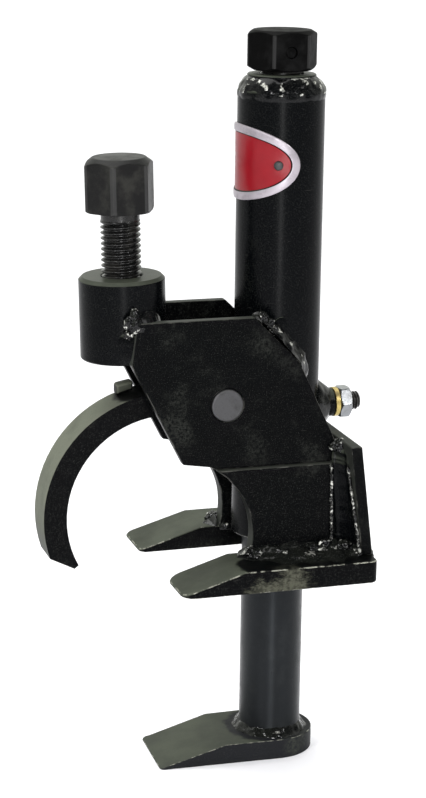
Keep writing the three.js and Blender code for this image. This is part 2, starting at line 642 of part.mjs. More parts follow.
ballJointSeparator.add(mesh('ram', ram(), darkSteel));
ballJointSeparator.add(mesh('thrust_button', thrustButton(), rawSteel));
ballJointSeparator.add(mesh('ram_foot', ramFoot(), blackPaint));
ballJointSeparator.add(mesh('main_screw_rod', mainScrewRod(), darkSteel));
ballJointSeparator.add(mesh('main_screw_head', mainScrewHead(), darkSteel));
const headPin = headPinBar(HEAD_PIN_RADIUS, HEX_ACROSS_FLATS / 2 - HEAD_PIN_RECESS);
ballJointSeparator.add(mesh('main_head_pin', headPin, rawSteel));

export default ballJointSeparator;
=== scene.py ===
"""The looks of a ball joint separator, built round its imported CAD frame. Metres, +Z up, jaws towards -X."""
import json
import math

import bmesh
import bpy
from mathutils import Matrix, Vector, noise

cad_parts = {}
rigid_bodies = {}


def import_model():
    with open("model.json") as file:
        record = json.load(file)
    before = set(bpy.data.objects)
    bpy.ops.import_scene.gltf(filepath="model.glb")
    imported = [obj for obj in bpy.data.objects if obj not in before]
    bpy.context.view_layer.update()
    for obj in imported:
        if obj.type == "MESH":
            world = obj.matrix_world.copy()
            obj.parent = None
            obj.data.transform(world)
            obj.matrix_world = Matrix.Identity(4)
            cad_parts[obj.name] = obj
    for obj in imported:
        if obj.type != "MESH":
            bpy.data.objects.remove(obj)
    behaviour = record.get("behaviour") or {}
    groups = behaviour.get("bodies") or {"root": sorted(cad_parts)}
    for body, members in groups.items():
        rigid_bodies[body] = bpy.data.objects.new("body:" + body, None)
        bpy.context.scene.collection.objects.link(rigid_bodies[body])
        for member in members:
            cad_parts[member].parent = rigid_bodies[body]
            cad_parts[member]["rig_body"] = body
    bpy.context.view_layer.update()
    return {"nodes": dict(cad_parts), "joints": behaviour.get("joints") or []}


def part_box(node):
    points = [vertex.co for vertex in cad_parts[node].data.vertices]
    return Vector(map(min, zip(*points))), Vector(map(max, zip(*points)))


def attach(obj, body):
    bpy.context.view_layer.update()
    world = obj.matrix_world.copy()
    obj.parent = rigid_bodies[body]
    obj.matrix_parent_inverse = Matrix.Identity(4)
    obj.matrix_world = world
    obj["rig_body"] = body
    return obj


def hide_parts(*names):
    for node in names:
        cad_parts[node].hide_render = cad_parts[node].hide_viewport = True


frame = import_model()

MM = 0.001
NODES = frame["nodes"]
JOINTS = {joint["name"]: joint for joint in frame["joints"]}
UP = Vector((0, 0, 1))


# ---- places taken from the frame
def low(node):
    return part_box(node)[0]


def high(node):
    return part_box(node)[1]


TUBE_RADIUS = high("ram_tube").y
TUBE_BOTTOM = low("ram_tube").z
TUBE_TOP = high("ram_tube").z
RAM_RADIUS = high("ram").y
FORK_BOTTOM = low("fork_plate_near").z
FORK_TOP = high("fork_plate_near").z
LEG_OUTER = -low("leg_plate_near").y
LEG_INNER = -high("leg_plate_near").y
SEAM = high("leg_plate_near").z
SIDE_OUTER = -low("side_plate_near").y
FOOT_TOP = high("ram_foot").z
KEY_Z = (low("key_nut").z + high("key_nut").z) / 2
CLAMP_CENTRE = Vector(JOINTS["clamp_screw_turn"]["pos_m"])
CLAMP_AXIS = Vector(JOINTS["clamp_slide"]["axis"])  # points down the clamp screw
CLAMP_TURN = math.atan2(-CLAMP_AXIS.x, -CLAMP_AXIS.z)
CLAMP_FRAME = Matrix.Translation(CLAMP_CENTRE) @ Matrix.Rotation(CLAMP_TURN, 4, "Y")
KEY_FRAME = Matrix.Translation((0, 0, KEY_Z)) @ Matrix.Rotation(math.radians(90), 4, "Y")

# ---- sizes the frame doesn't give
PITCH = 3.175 * MM  # both big screws, 8 threads per inch
THREAD_DEPTH = 0.61 * PITCH
HEX_FLAT = 18.25 * MM  # from the axis to a flat of either hexagon
MAIN_HEX_TURN = math.radians(58.5)
CLAMP_HEX_TURN = math.radians(5.6)
REAR_PLATE_THICKNESS = 7 * MM
REAR_PLATE_HALF_WIDTH = 52 * MM
THROAT_BACK_X = -26.4 * MM  # where the throat's round cut meets the fork's top
BOSS_RADIUS = 25.1 * MM
BOSS_HALF_HEIGHT = 24.2 * MM
CLAMP_CREST = 11.6 * MM  # the clamp screw's radius over its thread
KEY_CREST = 5.56 * MM  # the key screw's radius over its thread
KEY_PITCH = 1.814 * MM
KEY_NUT_FLAT = 8.75 * MM
BADGE_HALF_LENGTH = 43 * MM  # along the tube's skin
BADGE_RIM = 5.2 * MM


# ---- node materials
PAINT_SHINE = 0.03  # the paint is nearly black seen square on, and gray only at a grazing angle
# Dust colours; on faces turned to the light they also stand for a painted sheen.
DUST_AND_SHEEN_COLOUR = (0.066, 0.073, 0.056)
GRAY_DUST_AND_SHEEN = (0.060, 0.064, 0.055)
THICK_DUST_AND_SHEEN = (0.118, 0.126, 0.098)
DUST_AND_SHEEN_SIDE = (-0.65, 0, 0.75)  # dust and a painted sheen lie on what faces up and towards the jaws, where the light falls
GRIT = (0.046, 0.048, 0.044)
SCRATCH = (0.050, 0.050, 0.046)
SCUFF = (0.066, 0.067, 0.050)
DULL_CHIPS = (0.13, 0.128, 0.115)
BRIGHT_CHIPS = (0.26, 0.26, 0.22)
# Bright chips on the tube paint; on the clamp boss's top rim they are also a painted highlight.
TUBE_CHIPS_AND_RIM_GLINT = (0.26, 0.26, 0.23)
PAINTED_GLINT = (0.50, 0.50, 0.46)  # painted glints on the welds' crests


class Shader:
    """A material's node tree, with short ways to add nodes to it."""

    def __init__(self, name):
        self.material = bpy.data.materials.new(name)
        self.material.use_nodes = True
        self.tree = self.material.node_tree
        self.tree.nodes.clear()
        self.surface = self.tree.nodes.new("ShaderNodeBsdfPrincipled")
        output = self.tree.nodes.new("ShaderNodeOutputMaterial")
        self.tree.links.new(self.surface.outputs[0], output.inputs[0])
        self.coordinates = self.tree.nodes.new("ShaderNodeTexCoord")

    def feed(self, socket, value):
        if isinstance(value, bpy.types.NodeSocket):
            self.tree.links.new(value, socket)
        elif isinstance(value, tuple) and len(value) == 3 and socket.type == "RGBA":
            socket.default_value = (*value, 1)
        else:
            socket.default_value = value

    def set(self, **values):
        for name, value in values.items():
            self.feed(self.surface.inputs[name.replace("_", " ")], value)

    def add(self, kind, inputs, **settings):
        """A new node. inputs are sockets, numbers or colours, by the input's name or number."""
        node = self.tree.nodes.new("ShaderNode" + kind)
        for key, value in settings.items():
            setattr(node, key, value)
        for key, value in inputs.items():
            self.feed(node.inputs[key], value)
        return node

    def noise(self, scale, detail=3, roughness=0.6, stretch=(1, 1, 1), turn=(0, 0, 0)):
        """Noise of about 1/scale metres a cell, squeezed by stretch along each axis."""
        place = self.coordinates.outputs["Object"]
        mapping = self.add("Mapping", {"Vector": place, "Scale": stretch, "Rotation": turn}).outputs[0]
        inputs = {"Vector": mapping, "Scale": scale, "Detail": detail, "Roughness": roughness}
        return self.add("TexNoise", inputs).outputs["Fac"]

    def ramp(self, value, start, end, bottom=0.0, top=1.0):
        inputs = {"Value": value, "From Min": start, "From Max": end, "To Min": bottom, "To Max": top}
        return self.add("MapRange", inputs, interpolation_type="SMOOTHSTEP").outputs["Result"]

    def math(self, operation, a, b=0.0):
        return self.add("Math", {0: a, 1: b}, operation=operation).outputs[0]

    def times(self, a, b):
        return self.math("MULTIPLY", a, b)

    def most(self, a, b):
        return self.math("MAXIMUM", a, b)

    def blend(self, factor, a, b):
        """Between two numbers."""
        return self.add("Mix", {0: factor, 2: a, 3: b}, data_type="FLOAT").outputs[0]

    def mix(self, factor, a, b):
        """Between two colours."""
        return self.add("Mix", {0: factor, 6: a, 7: b}, data_type="RGBA").outputs[2]

    def bump(self, height, depth, under=None):
        """A height from 0 to 1 as a bump of that depth in metres, on top of another bump."""
        inputs = {"Strength": 1.0, "Distance": depth, "Height": height}
        if under is not None:
            inputs["Normal"] = under
        return self.add("Bump", inputs).outputs[0]

    def wear_and_glint(self):
        """The attribute of worn edges and painted glints: 1 on a worn edge or on a weld crest with a painted
        glint, 0 away from it.
        """
        return self.add("Attribute", {}, attribute_name="wear_and_glint").outputs["Fac"]

    def vector_math(self, operation, vector, other, result):
        inputs = {0: self.coordinates.outputs[vector], 1: other}
        return self.add("VectorMath", inputs, operation=operation).outputs[result]

    def facing(self, direction):
        """How far the surface faces a direction, in the piece's own frame."""
        return self.vector_math("DOT_PRODUCT", "Normal", Vector(direction).normalized(), "Value")

    def near(self, place, reach):
        """1 at a place, fading to 0 at a distance from it."""
        return self.ramp(self.vector_math("DISTANCE", "Object", place, "Value"), 0, reach, 1, 0)


def paint(
    name, gloss, tone, dust_and_sheen, chip_and_glint_strength, ripple=0.35 * MM, shine=PAINT_SHINE, dust_and_sheen_side=DUST_AND_SHEEN_SIDE, scuffs=(),
    clean_and_shaded=(), haze=0.10, dust_and_sheen_tone=DUST_AND_SHEEN_COLOUR, lumpy=0.0, chip_and_glint_tone=DULL_CHIPS, chip_and_glint_scale=110, grit=0.42,
):
    """Black paint: cloudy dust with a painted sheen where it faces the light, haze, fine grain, scratches,
    and paint worn through to steel, which on welds is a painted glint on each crest.

    dust, haze, grit and chips are how strongly each shows. The dust is partly a painted sheen of the faces
    turned to the light, and on welds the chipping is a painted glint on each crest. scuffs are (place, reach)
    of the spots that are worn most, and clean is the same for spots with no dust, one of them a painted
    shadow of the clamp boss on the hook arm.
    """
    s = Shader(name)
    clouds = s.ramp(s.noise(38, 6, 0.62), 0.30, 0.72, 0.6, 1.0)
    # Dust, with a painted sheen, on what faces the dust side, where the light falls.
    settled_and_lit = s.times(s.ramp(s.facing(dust_and_sheen_side), 0.25, 0.8), clouds)
    # No dust or sheen at these spots; the spot under the clamp boss is a painted shadow.
    for place, reach in clean_and_shaded:
        ragged_edge = s.math("ADD", s.near(place, reach), s.times(s.noise(120, 4), 0.3))
        settled_and_lit = s.times(settled_and_lit, s.ramp(ragged_edge, 0.36, 0.50, 1, 0))
    rubbed = s.times(s.ramp(s.noise(26, 6, 0.66), 0.52, 0.72), s.ramp(s.noise(500, 3, 0.7), 0.35, 0.65))
    dust_and_sheen_mask = s.most(s.times(settled_and_lit, dust_and_sheen), s.times(rubbed, haze))
    specks = s.ramp(s.noise(1500, 2, 0.75), 0.54, 0.72)
    long_marks = s.ramp(s.noise(120, 3, 0.5, stretch=(1, 1, 16), turn=(0.5, 0.9, 0.2)), 0.71, 0.74)
    cross_marks = s.ramp(s.noise(150, 3, 0.5, stretch=(14, 1, 1), turn=(0.3, 0.4, 0.7)), 0.72, 0.75)
    marks = s.most(long_marks, cross_marks)
    # Chips to steel on worn edges; on weld crests they are painted glints.
    ragged = s.math("ADD", s.times(s.wear_and_glint(), 0.55), s.noise(chip_and_glint_scale, 6, 0.72))
    chips_and_glints = s.times(s.ramp(ragged, 1.02, 1.14), chip_and_glint_strength)
    colour = s.mix(s.times(s.noise(14, 3), 0.5), tone, tuple(1.8 * c for c in tone))
    colour = s.mix(dust_and_sheen_mask, colour, dust_and_sheen_tone)
    colour = s.mix(s.times(specks, grit), colour, GRIT)
    colour = s.mix(s.times(marks, 0.3), colour, SCRATCH)
    for place, reach in scuffs:
        torn = s.math("ADD", s.near(place, reach), s.times(s.noise(130, 7, 0.8, (1, 1, 2.2)), 1.9))
        speckled = s.ramp(s.noise(450, 3, 0.7), 0.38, 0.60, 0.35, 0.9)
        patch = s.times(s.ramp(torn, 1.36, 1.85), speckled)
        colour = s.mix(patch, colour, SCUFF)
        dust_and_sheen_mask = s.most(dust_and_sheen_mask, patch)
    colour = s.mix(chips_and_glints, colour, chip_and_glint_tone)
    rough = s.blend(dust_and_sheen_mask, gloss, gloss + 0.16)
    rough = s.blend(s.times(specks, 0.4), rough, 0.6)
    rough = s.blend(chips_and_glints, rough, 0.45)
    grain = s.bump(s.noise(900, 3, 0.6), 0.03 * MM)
    if lumpy:
        grain = s.bump(s.noise(260, 2, 0.5), lumpy, grain)
    waves = s.bump(s.noise(70, 2, 0.5), ripple, grain)
    s.set(Base_Color=colour, Roughness=rough, Metallic=s.times(chips_and_glints, 0.8), Normal=waves)
    s.set(Specular_IOR_Level=shine)
    return s.material


def bare_metal(name, tone, stain, rough, streak=(1, 1, 1), metallic=0.9, shine=0.5, turned_marks=0.0):
    """Steel or plating: fine streaks, stains, small pits and brighter worn edges.

    rough is its roughness away from the stains. turned_marks draws highlights out along a bar.
    """
    s = Shader(name)
    stains = s.ramp(s.noise(90, 5, 0.65), 0.45, 0.70)
    streaks = s.noise(700, 3, 0.6, stretch=streak)
    pits = s.ramp(s.noise(1300, 2, 0.6), 0.62, 0.74)
    colour = s.mix(stains, tone, stain)
    colour = s.mix(s.times(pits, 0.5), colour, tuple(0.45 * c for c in stain))
    polished = s.times(s.wear_and_glint(), 0.5)
    colour = s.mix(polished, colour, tuple(min(1.0, 2.5 * c + 0.03) for c in tone))
    roughness = s.math("ADD", s.blend(stains, rough, rough + 0.14), s.times(streaks, 0.1))
    fine = s.bump(streaks, 0.03 * MM)
    pitted = s.bump(pits, 0.04 * MM, fine)
    s.set(Base_Color=colour, Roughness=roughness, Normal=pitted, Metallic=metallic)
    s.set(Specular_IOR_Level=shine)
    if turned_marks:
        round_bar = s.add("Tangent", {}, direction_type="RADIAL", axis="Z")
        s.set(Anisotropic=turned_marks, Anisotropic_Rotation=0.25, Tangent=round_bar.outputs[0])
    return s.material


def enamel(name, tone):
    """Glossy badge enamel, very slightly uneven."""
    s = Shader(name)
    s.set(Base_Color=s.mix(s.noise(160, 3), tone, tuple(0.75 * c for c in tone)), Roughness=0.30)
    s.set(Normal=s.bump(s.noise(300, 2), 0.05 * MM), Specular_IOR_Level=0.25)
    return s.material


def floor_surface():
    s = Shader("floor_paper")
    s.set(Base_Color=s.mix(s.noise(3, 2), (0.885, 0.88, 0.915), (0.90, 0.895, 0.93)), Roughness=1.0)
    s.set(Specular_IOR_Level=0.0)
    return s.material


# spots on the pieces: (place, reach)
FORK_SCUFFS = [
    ((-0.009, -0.063, FORK_BOTTOM + 3 * MM), 0.024), ((-0.026, -0.063, FORK_BOTTOM - 2 * MM), 0.022),
]
FOOT_CLEAN = [((0, 0, FOOT_TOP), 0.043), ((0.012, 0, FOOT_TOP), 0.043)]
FORK_CLEAN = [
    ((-0.021, -0.052, FORK_TOP), 0.027), ((-0.006, -0.048, FORK_TOP), 0.034),
    ((0.020, -0.048, FORK_TOP), 0.040), ((0.045, -0.048, FORK_TOP), 0.040),
]
# A painted shadow of the clamp boss: the hook arm has no dust or sheen just under it.
BOSS_SHADOW = [((-0.076, 0, FORK_BOTTOM + 0.110), 0.037)]

PLATE_PAINT = paint(
    "plate_paint", 0.34, (0.0005, 0.0006, 0.0008), 0.75, 0.35, haze=0.26, dust_and_sheen_tone=GRAY_DUST_AND_SHEEN,
)
PRONG_PAINT = paint(
    "prong_paint", 0.34, (0.0007, 0.0008, 0.0010), 1.1, 1.0, scuffs=FORK_SCUFFS, clean_and_shaded=FORK_CLEAN, haze=0.4,
    chip_and_glint_tone=BRIGHT_CHIPS, chip_and_glint_scale=160,
)
# A lighter tone and more haze than the other paints: a painted reflection of the floor on the foot.
FOOT_PAINT = paint(
    "foot_paint", 0.36, (0.011, 0.0115, 0.013), 1.0, 1.0, clean_and_shaded=FOOT_CLEAN, haze=0.6,
    chip_and_glint_tone=BRIGHT_CHIPS, chip_and_glint_scale=160,
)
TUBE_PAINT = paint(
    "tube_paint", 0.24, (0.0005, 0.0007, 0.0010), 0.8, 0.9, 0.12 * MM, 0.05, (-0.25, 0, 0.97), haze=0.07,
    grit=0.25, chip_and_glint_tone=TUBE_CHIPS_AND_RIM_GLINT,
)
# The hook's band of thick dust is partly a painted sheen, and stops at the painted shadow of the clamp boss.
ARM_PAINT = paint(
    "arm_paint", 0.36, (0.0010, 0.0011, 0.0013), 1.2, 0.4, 0.5 * MM, clean_and_shaded=BOSS_SHADOW, dust_and_sheen_tone=THICK_DUST_AND_SHEEN,
)
# Dust and a painted sheen on what faces up and towards the near side.
LUG_PAINT = paint(
    "lug_paint", 0.40, (0.0014, 0.0015, 0.0017), 1.0, 0.4, dust_and_sheen_side=(-0.3, -0.5, 0.8),
    dust_and_sheen_tone=THICK_DUST_AND_SHEEN,
)
# The weld paint's chipping is painted glints on the crests.
WELD_PAINT = paint(
    "weld_paint", 0.12, (0.0008, 0.0009, 0.0012), 0.1, 1.0, 0.2 * MM, 0.2, haze=0.15, lumpy=0.3 * MM,
    chip_and_glint_tone=PAINTED_GLINT, chip_and_glint_scale=330,
)
# Its chipping is painted glints on the shoulder's crests.
SHOULDER_PAINT = paint(
    "shoulder_paint", 0.14, (0.0008, 0.0009, 0.0012), 0.0, 1.0, 0.2 * MM, 0.14, haze=0.08,
    chip_and_glint_tone=PAINTED_GLINT, chip_and_glint_scale=330,
)
# A darker, duller copy of the black oxide: painted shade on the main screw's head.
SHADED_HEAD_OXIDE = bare_metal("shaded_head_oxide", (0.0015,) * 3, (0.005,) * 3, 0.40, metallic=0.0, shine=0.02)
OXIDE = bare_metal("black_oxide", (0.0045,) * 3, (0.016, 0.016, 0.014), 0.36, metallic=0.25, shine=0.14)
THREAD_OXIDE = bare_metal(
    "thread_oxide", (0.006,) * 3, (0.018, 0.017, 0.015), 0.20, metallic=0.3, shine=0.4,
)
RAM_STEEL = bare_metal(
    "ram_steel", (0.0175, 0.0192, 0.0208), (0.024, 0.026, 0.0275), 0.30, (3, 3, 0.15), 0.8, 0.15, 0.85,
)
PIN_STEEL = bare_metal("pin_steel", (0.060, 0.060, 0.062), (0.045,) * 3, 0.42)
BUTTON_STEEL = bare_metal("button_steel", (0.16, 0.16, 0.165), (0.10,) * 3, 0.35)
BRIGHT_ZINC = bare_metal("bright_zinc", (0.25, 0.26, 0.27), (0.17,) * 3, 0.25, metallic=1.0)
YELLOW_ZINC = bare_metal("yellow_zinc", (0.42, 0.33, 0.12), (0.28, 0.22, 0.10), 0.30, metallic=1.0)
RIM_SILVER = bare_metal("badge_silver", (0.32, 0.29, 0.32), (0.22, 0.20, 0.22), 0.34, metallic=0.5)
BADGE_RED = enamel("badge_red", (0.20, 0.003, 0.008))


# ---- mesh helpers
def new_object(name, data):
    obj = bpy.data.objects.new(name, data)
    bpy.context.scene.collection.objects.link(obj)
    return obj


def put(name, mesh_data, materials, stands_for=(), body="frame", sharp=38):
    """A finished mesh as a piece that rides on a body."""
    mesh_data.validate()
    for polygon in mesh_data.polygons:
        polygon.use_smooth = True
    mesh_data.set_sharp_from_angle(angle=math.radians(sharp))
    for material in materials:
        mesh_data.materials.append(material)
    obj = new_object(name, mesh_data)
    weighted = obj.modifiers.new("even_shading", "WEIGHTED_NORMAL")
    weighted.keep_sharp = True
    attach(obj, body)
    if stands_for:
        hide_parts(*stands_for)
    return obj


def mesh_from(name, points, faces, marks=None, place=None):
    """A closed mesh, with its faces turned outwards. marks are the material numbers of its faces."""
    bm = bmesh.new()
    verts = [bm.verts.new(p) for p in points]
    for number, face in enumerate(faces):
        made = bm.faces.new([verts[i] for i in face])
        if marks:
            made.material_index = marks[number]
    bmesh.ops.recalc_face_normals(bm, faces=bm.faces)
    if place is not None:
        bmesh.ops.transform(bm, matrix=place, verts=bm.verts)
    data = bpy.data.meshes.new(name)
    bm.to_mesh(data)
    bm.free()
    return data


def rounded(corners, steps=4):
    """A (radius, height) outline whose corners, given as (r, z, round), are rounded."""
    points = []
    last = len(corners) - 1
    for i, corner in enumerate(corners):
        here = Vector(corner[:2])
        radius = corner[2] if len(corner) > 2 else 0
        if radius == 0 or i in (0, last):
            points.append(tuple(here))
            continue
        before = (Vector(corners[i - 1][:2]) - here).normalized()
        after = (Vector(corners[i + 1][:2]) - here).normalized()
        half = before.angle(after) / 2
        reach = radius / math.tan(half)
        start, end = here + before * reach, here + after * reach
        middle = here + (before + after).normalized() * (radius / math.sin(half))
        for k in range(steps + 1):
            t = k / steps
            spoke = (start - middle).lerp(end - middle, t).normalized()
            points.append(tuple(middle + spoke * radius))
    return points


def turned(name, outline, columns=96, reshape=None, place=None, loop=False):
    """A mesh turned about +Z from (r, z) points, which end on the axis, or close on themselves with loop.

    reshape(angle, r, z) gives another radius at a point.
    """
    points, rings = [], []
    for r, z in outline:
        if r <= 1e-7:
            rings.append([len(points)])
            points.append((0, 0, z))
            continue
        ring = []
        for i in range(columns):
            angle = 2 * math.pi * i / columns
            rr = reshape(angle, r, z) if reshape else r
            ring.append(len(points))
            points.append((rr * math.cos(angle), rr * math.sin(angle), z))
        rings.append(ring)
    pairs = list(zip(rings, rings[1:]))
    if loop:
        pairs.append((rings[-1], rings[0]))
    faces = []
    for a, b in pairs:
        for i in range(columns):
            j = (i + 1) % columns
            if len(a) == 1:
                faces.append((a[0], b[j], b[i]))
            elif len(b) == 1:
                faces.append((a[i], a[j], b[0]))
            else:
                faces.append((a[i], a[j], b[j], b[i]))
    return mesh_from(name, points, faces, place=place)


def carve(data, cutter):
    """The mesh with another mesh cut out of it."""
    body, tool = new_object("carved", data), new_object("cutter", cutter)
    cut = body.modifiers.new("cut", "BOOLEAN")
    cut.object = tool
    cut.solver = "EXACT"
    evaluated = body.evaluated_get(bpy.context.evaluated_depsgraph_get())
    result = bpy.data.meshes.new_from_object(evaluated)
    for obj in (body, tool):
        bpy.data.objects.remove(obj)
    return result


def write_wear_and_glint(data, values):
    """Writes the attribute of worn edges and painted glints, from 0 to 1 at each vertex."""
    layer = data.attributes.get("wear_and_glint") or data.attributes.new("wear_and_glint", "FLOAT", "POINT")
    for item, value in zip(layer.data, values):
        item.value = value


def mark_wear_and_glint(data, chosen):
    """The same, with chosen(place) giving each vertex's value."""
    write_wear_and_glint(data, [chosen(vertex.co) for vertex in data.vertices])


def finish_node(node, width, material):
    """A copy of a CAD node with its sharp edges rounded, to stand for it. Only those edges are worn."""
    bm = bmesh.new()
    bm.from_mesh(NODES[node].data)
    bmesh.ops.remove_doubles(bm, verts=bm.verts, dist=2e-6)
    bmesh.ops.dissolve_limit(bm, angle_limit=math.radians(0.8), verts=bm.verts, edges=bm.edges)
    edges = [e for e in bm.edges if e.is_manifold and e.calc_face_angle() > math.radians(24)]
    made = bmesh.ops.bevel(
        bm, geom=edges, offset=width, offset_type="OFFSET", segments=4, profile=0.5,
        affect="EDGES", clamp_overlap=True,
    )
    band = set(made["faces"])
    layer = bm.verts.layers.float.new("wear_and_glint")
    for vertex in bm.verts:
        vertex[layer] = 1.0 if all(face in band for face in vertex.link_faces) else 0.0
    data = bpy.data.meshes.new(node + "_finish")
    bm.to_mesh(data)
    bm.free()
    return put(node + "_finish", data, [material], [node], NODES[node]["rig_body"])


# ---- weld beads
def lumps(point, seed, scale):
    """Smooth noise of about 1/scale metres a cell, different for each seed."""
    return noise.noise(Vector(point) * scale + Vector((seed * 7.3, seed * 3.1, seed * 1.7)))


def crest(lump):
    """How far a lump's height makes it a crest with a painted glint."""
    return min(1.0, max(0.0, (lump - 0.08) / 0.25))


def stations_along(stations, step):
    """(point, leg, leg) stations, spaced evenly along their line."""
    evened = []
    for start, end in zip(stations, stations[1:]):
        parts = max(1, round((end[0] - start[0]).length / step))
        evened += [tuple(u.lerp(v, k / parts) for u, v in zip(start, end)) for k in range(parts)]
    evened.append(stations[-1])
    return evened


def bead(
    name, stations, seed, body="frame", loop=False, bulge=0.30, rough=0.35, toe=0.0, lump_size=None,
    material=None,
):
    """A lumpy weld. Each station has a corner point and the weld's two legs, along the faces it joins.

    bulge, rough and toe (a ridge along both edges) are shares of the weld's size. The tops of its lumps get
    painted glints, unless it is given a material of its own.
    """
    step, sections, sunk = 0.5 * MM, 21, 0.35
    line = stations_along([tuple(Vector(v) for v in station) for station in stations], step)
    if loop:
        line.pop()
    points, faces, painted_glints = [], [], []
    total = len(line)
    for i, (p, a, b) in enumerate(line):
        size = (a.length + b.length) / 2
        ends = 1.0 if loop else min(1.0, (min(i, total - 1 - i) * step + 0.3 * MM) / (0.8 * size)) ** 0.5
        across = (a + b).normalized()
        for k in range(sections):
            s = k / (sections - 1)
            flat = p + a * (1 - s) + b * s
            hump = math.sin(math.pi * s)
            cell = lump_size or size
            lump = lumps(flat, seed, 0.5 / cell) + 0.5 * lumps(flat, seed + 9, 1.3 / cell)
            drops = max(0.0, lumps(flat, seed + 4, 1.0 / cell)) ** 1.5
            ridge = toe * math.exp(-(((0.5 - abs(s - 0.5)) - 0.10) / 0.07) ** 2)
            bumps = rough * cell / size * (0.6 * lump + 0.9 * drops) * hump**0.5
            swell = bulge * hump**0.8 + ridge + bumps
            spread = 1 + rough * 0.9 * lumps(flat, seed + 2, 0.7 / cell) * abs(1 - 2 * s)
            flat = p + (flat - p) * (spread * ends)
            points.append(flat + across * (size * ends * swell))
            # A painted glint where the lump rises high.
            painted_glints.append(crest(lump + drops) * hump)
        points.append(p - across * (size * sunk * ends))
        painted_glints.append(0.0)
    ring = sections + 1
    spans = total if loop else total - 1
    for i in range(spans):
        for k in range(ring):
            here, beside = i * ring + k, i * ring + (k + 1) % ring
            ahead, far = ((i + 1) % total) * ring + k, ((i + 1) % total) * ring + (k + 1) % ring
            faces.append((here, beside, far, ahead))
    if not loop:
        faces.append(tuple(range(ring)))
        faces.append(tuple((total - 1) * ring + k for k in reversed(range(ring))))
    data = mesh_from(name, points, faces)
    if material is None:
        write_wear_and_glint(data, painted_glints)
    return put(name, data, [material or WELD_PAINT], body=body, sharp=80)


def dollop(name, centre, radii, seed, rough=0.5):
    """A lump of weld metal on the frame, with painted glints on its high spots."""
    bm = bmesh.new()
    bmesh.ops.create_icosphere(bm, subdivisions=5, radius=1)
    painted_glints = []
    for vertex in bm.verts:
        lump = lumps(vertex.co, seed, 1.1) + 0.5 * lumps(vertex.co, seed + 5, 2.6)
        # A painted glint on the high lumps.
        painted_glints.append(crest(lump))
        swell = 1 + rough * lump
        vertex.co = Vector(centre) + Vector(c * r * swell for c, r in zip(vertex.co, radii))
    data = bpy.data.meshes.new(name)
    bm.to_mesh(data)
    bm.free()
    write_wear_and_glint(data, painted_glints)
    put(name, data, [WELD_PAINT], sharp=80)


# ---- screws
def hexagon(flat, turn, corner_power=160):
    """A reshape for turned(): a hexagon with soft corners, met by the turned outline."""
    edge_power = 110

    def reshape(angle, r, _z):
        total = 0.0
        for k in range(6):
            facing = math.cos(angle - turn - math.radians(30 + 60 * k))
            if facing > 0:
                total += facing**corner_power
        hex_radius = flat * total ** (-1 / corner_power)
        return r * ((hex_radius / r) ** -edge_power + 1) ** (-1 / edge_power)

    return reshape


def thread(crest, depth, pitch, bottom, top, taper):
    """A reshape for turned(): a right-hand thread between two heights, fading out over taper at the top."""

    def reshape(angle, r, z):
        phase = (z / pitch - angle / (2 * math.pi)) % 1.0
        from_crest = abs(phase - 0.5) * 2
        groove = min(1.0, max(0.0, (0.82 - from_crest) / 0.68))
        groove = groove * groove * (3 - 2 * groove) * 0.35 + groove * 0.65
        inside = min(1.0, max(0.0, (top - z) / taper), max(0.0, (z - bottom) / (0.5 * pitch)))
        return min(r, crest - depth * groove * inside)

    return reshape


def heights(start, end, step):
    """Evenly spaced numbers from start to end, no further apart than step."""
    count = max(1, math.ceil((end - start) / step))
    return [start + (end - start) * k / count for k in range(count + 1)]


def head_outline(bottom, top, lower, upper, crown, crown_radius):
    """The turned outline that trims a hexagon head.

    lower and upper are the chamfers' (face radius, height). crown is the rise of the domed top.
    """
    wide = HEX_FLAT * 1.17
    rim = rounded([(lower[0] * 0.9, bottom), (lower[0], bottom, 0.4 * MM), (wide, bottom + lower[1])])
    outline = [(0, bottom), (lower[0] * 0.8, bottom)] + rim[1:-1]
    chamfer = heights(0, 1, 0.08)[1:]
    start = outline[-1]
    outline += [
        (start[0] + (wide - start[0]) * t, start[1] + (bottom + lower[1] - start[1]) * t) for t in chamfer
    ]
    outline += [(wide, z) for z in heights(bottom + lower[1], top - crown - upper[1], 1.5 * MM)[1:]]
    brow = top - crown
    outline += [(wide + (upper[0] - wide) * t, brow - upper[1] * (1 - t)) for t in chamfer]
    for t in (0.06, 0.2, 0.45, 0.7, 0.9):
        outline.append((upper[0] * (1 - t), brow + crown * min(1.0, crown_radius * t)))
    outline.append((0, top))
    return outline


def pin_bar(name, radius, start, end, turn, height, rim):
    """A short bar across the main screw's head."""
    across = Matrix.Rotation(turn, 4, "Z") @ Matrix.Rotation(math.pi / 2, 4, "Y")
    place = Matrix.Translation((0, 0, height)) @ across
    outline = rounded([(0, start), (radius, start, rim), (radius, end, rim), (0, end)])
    return turned(name, outline, 40, place=place)


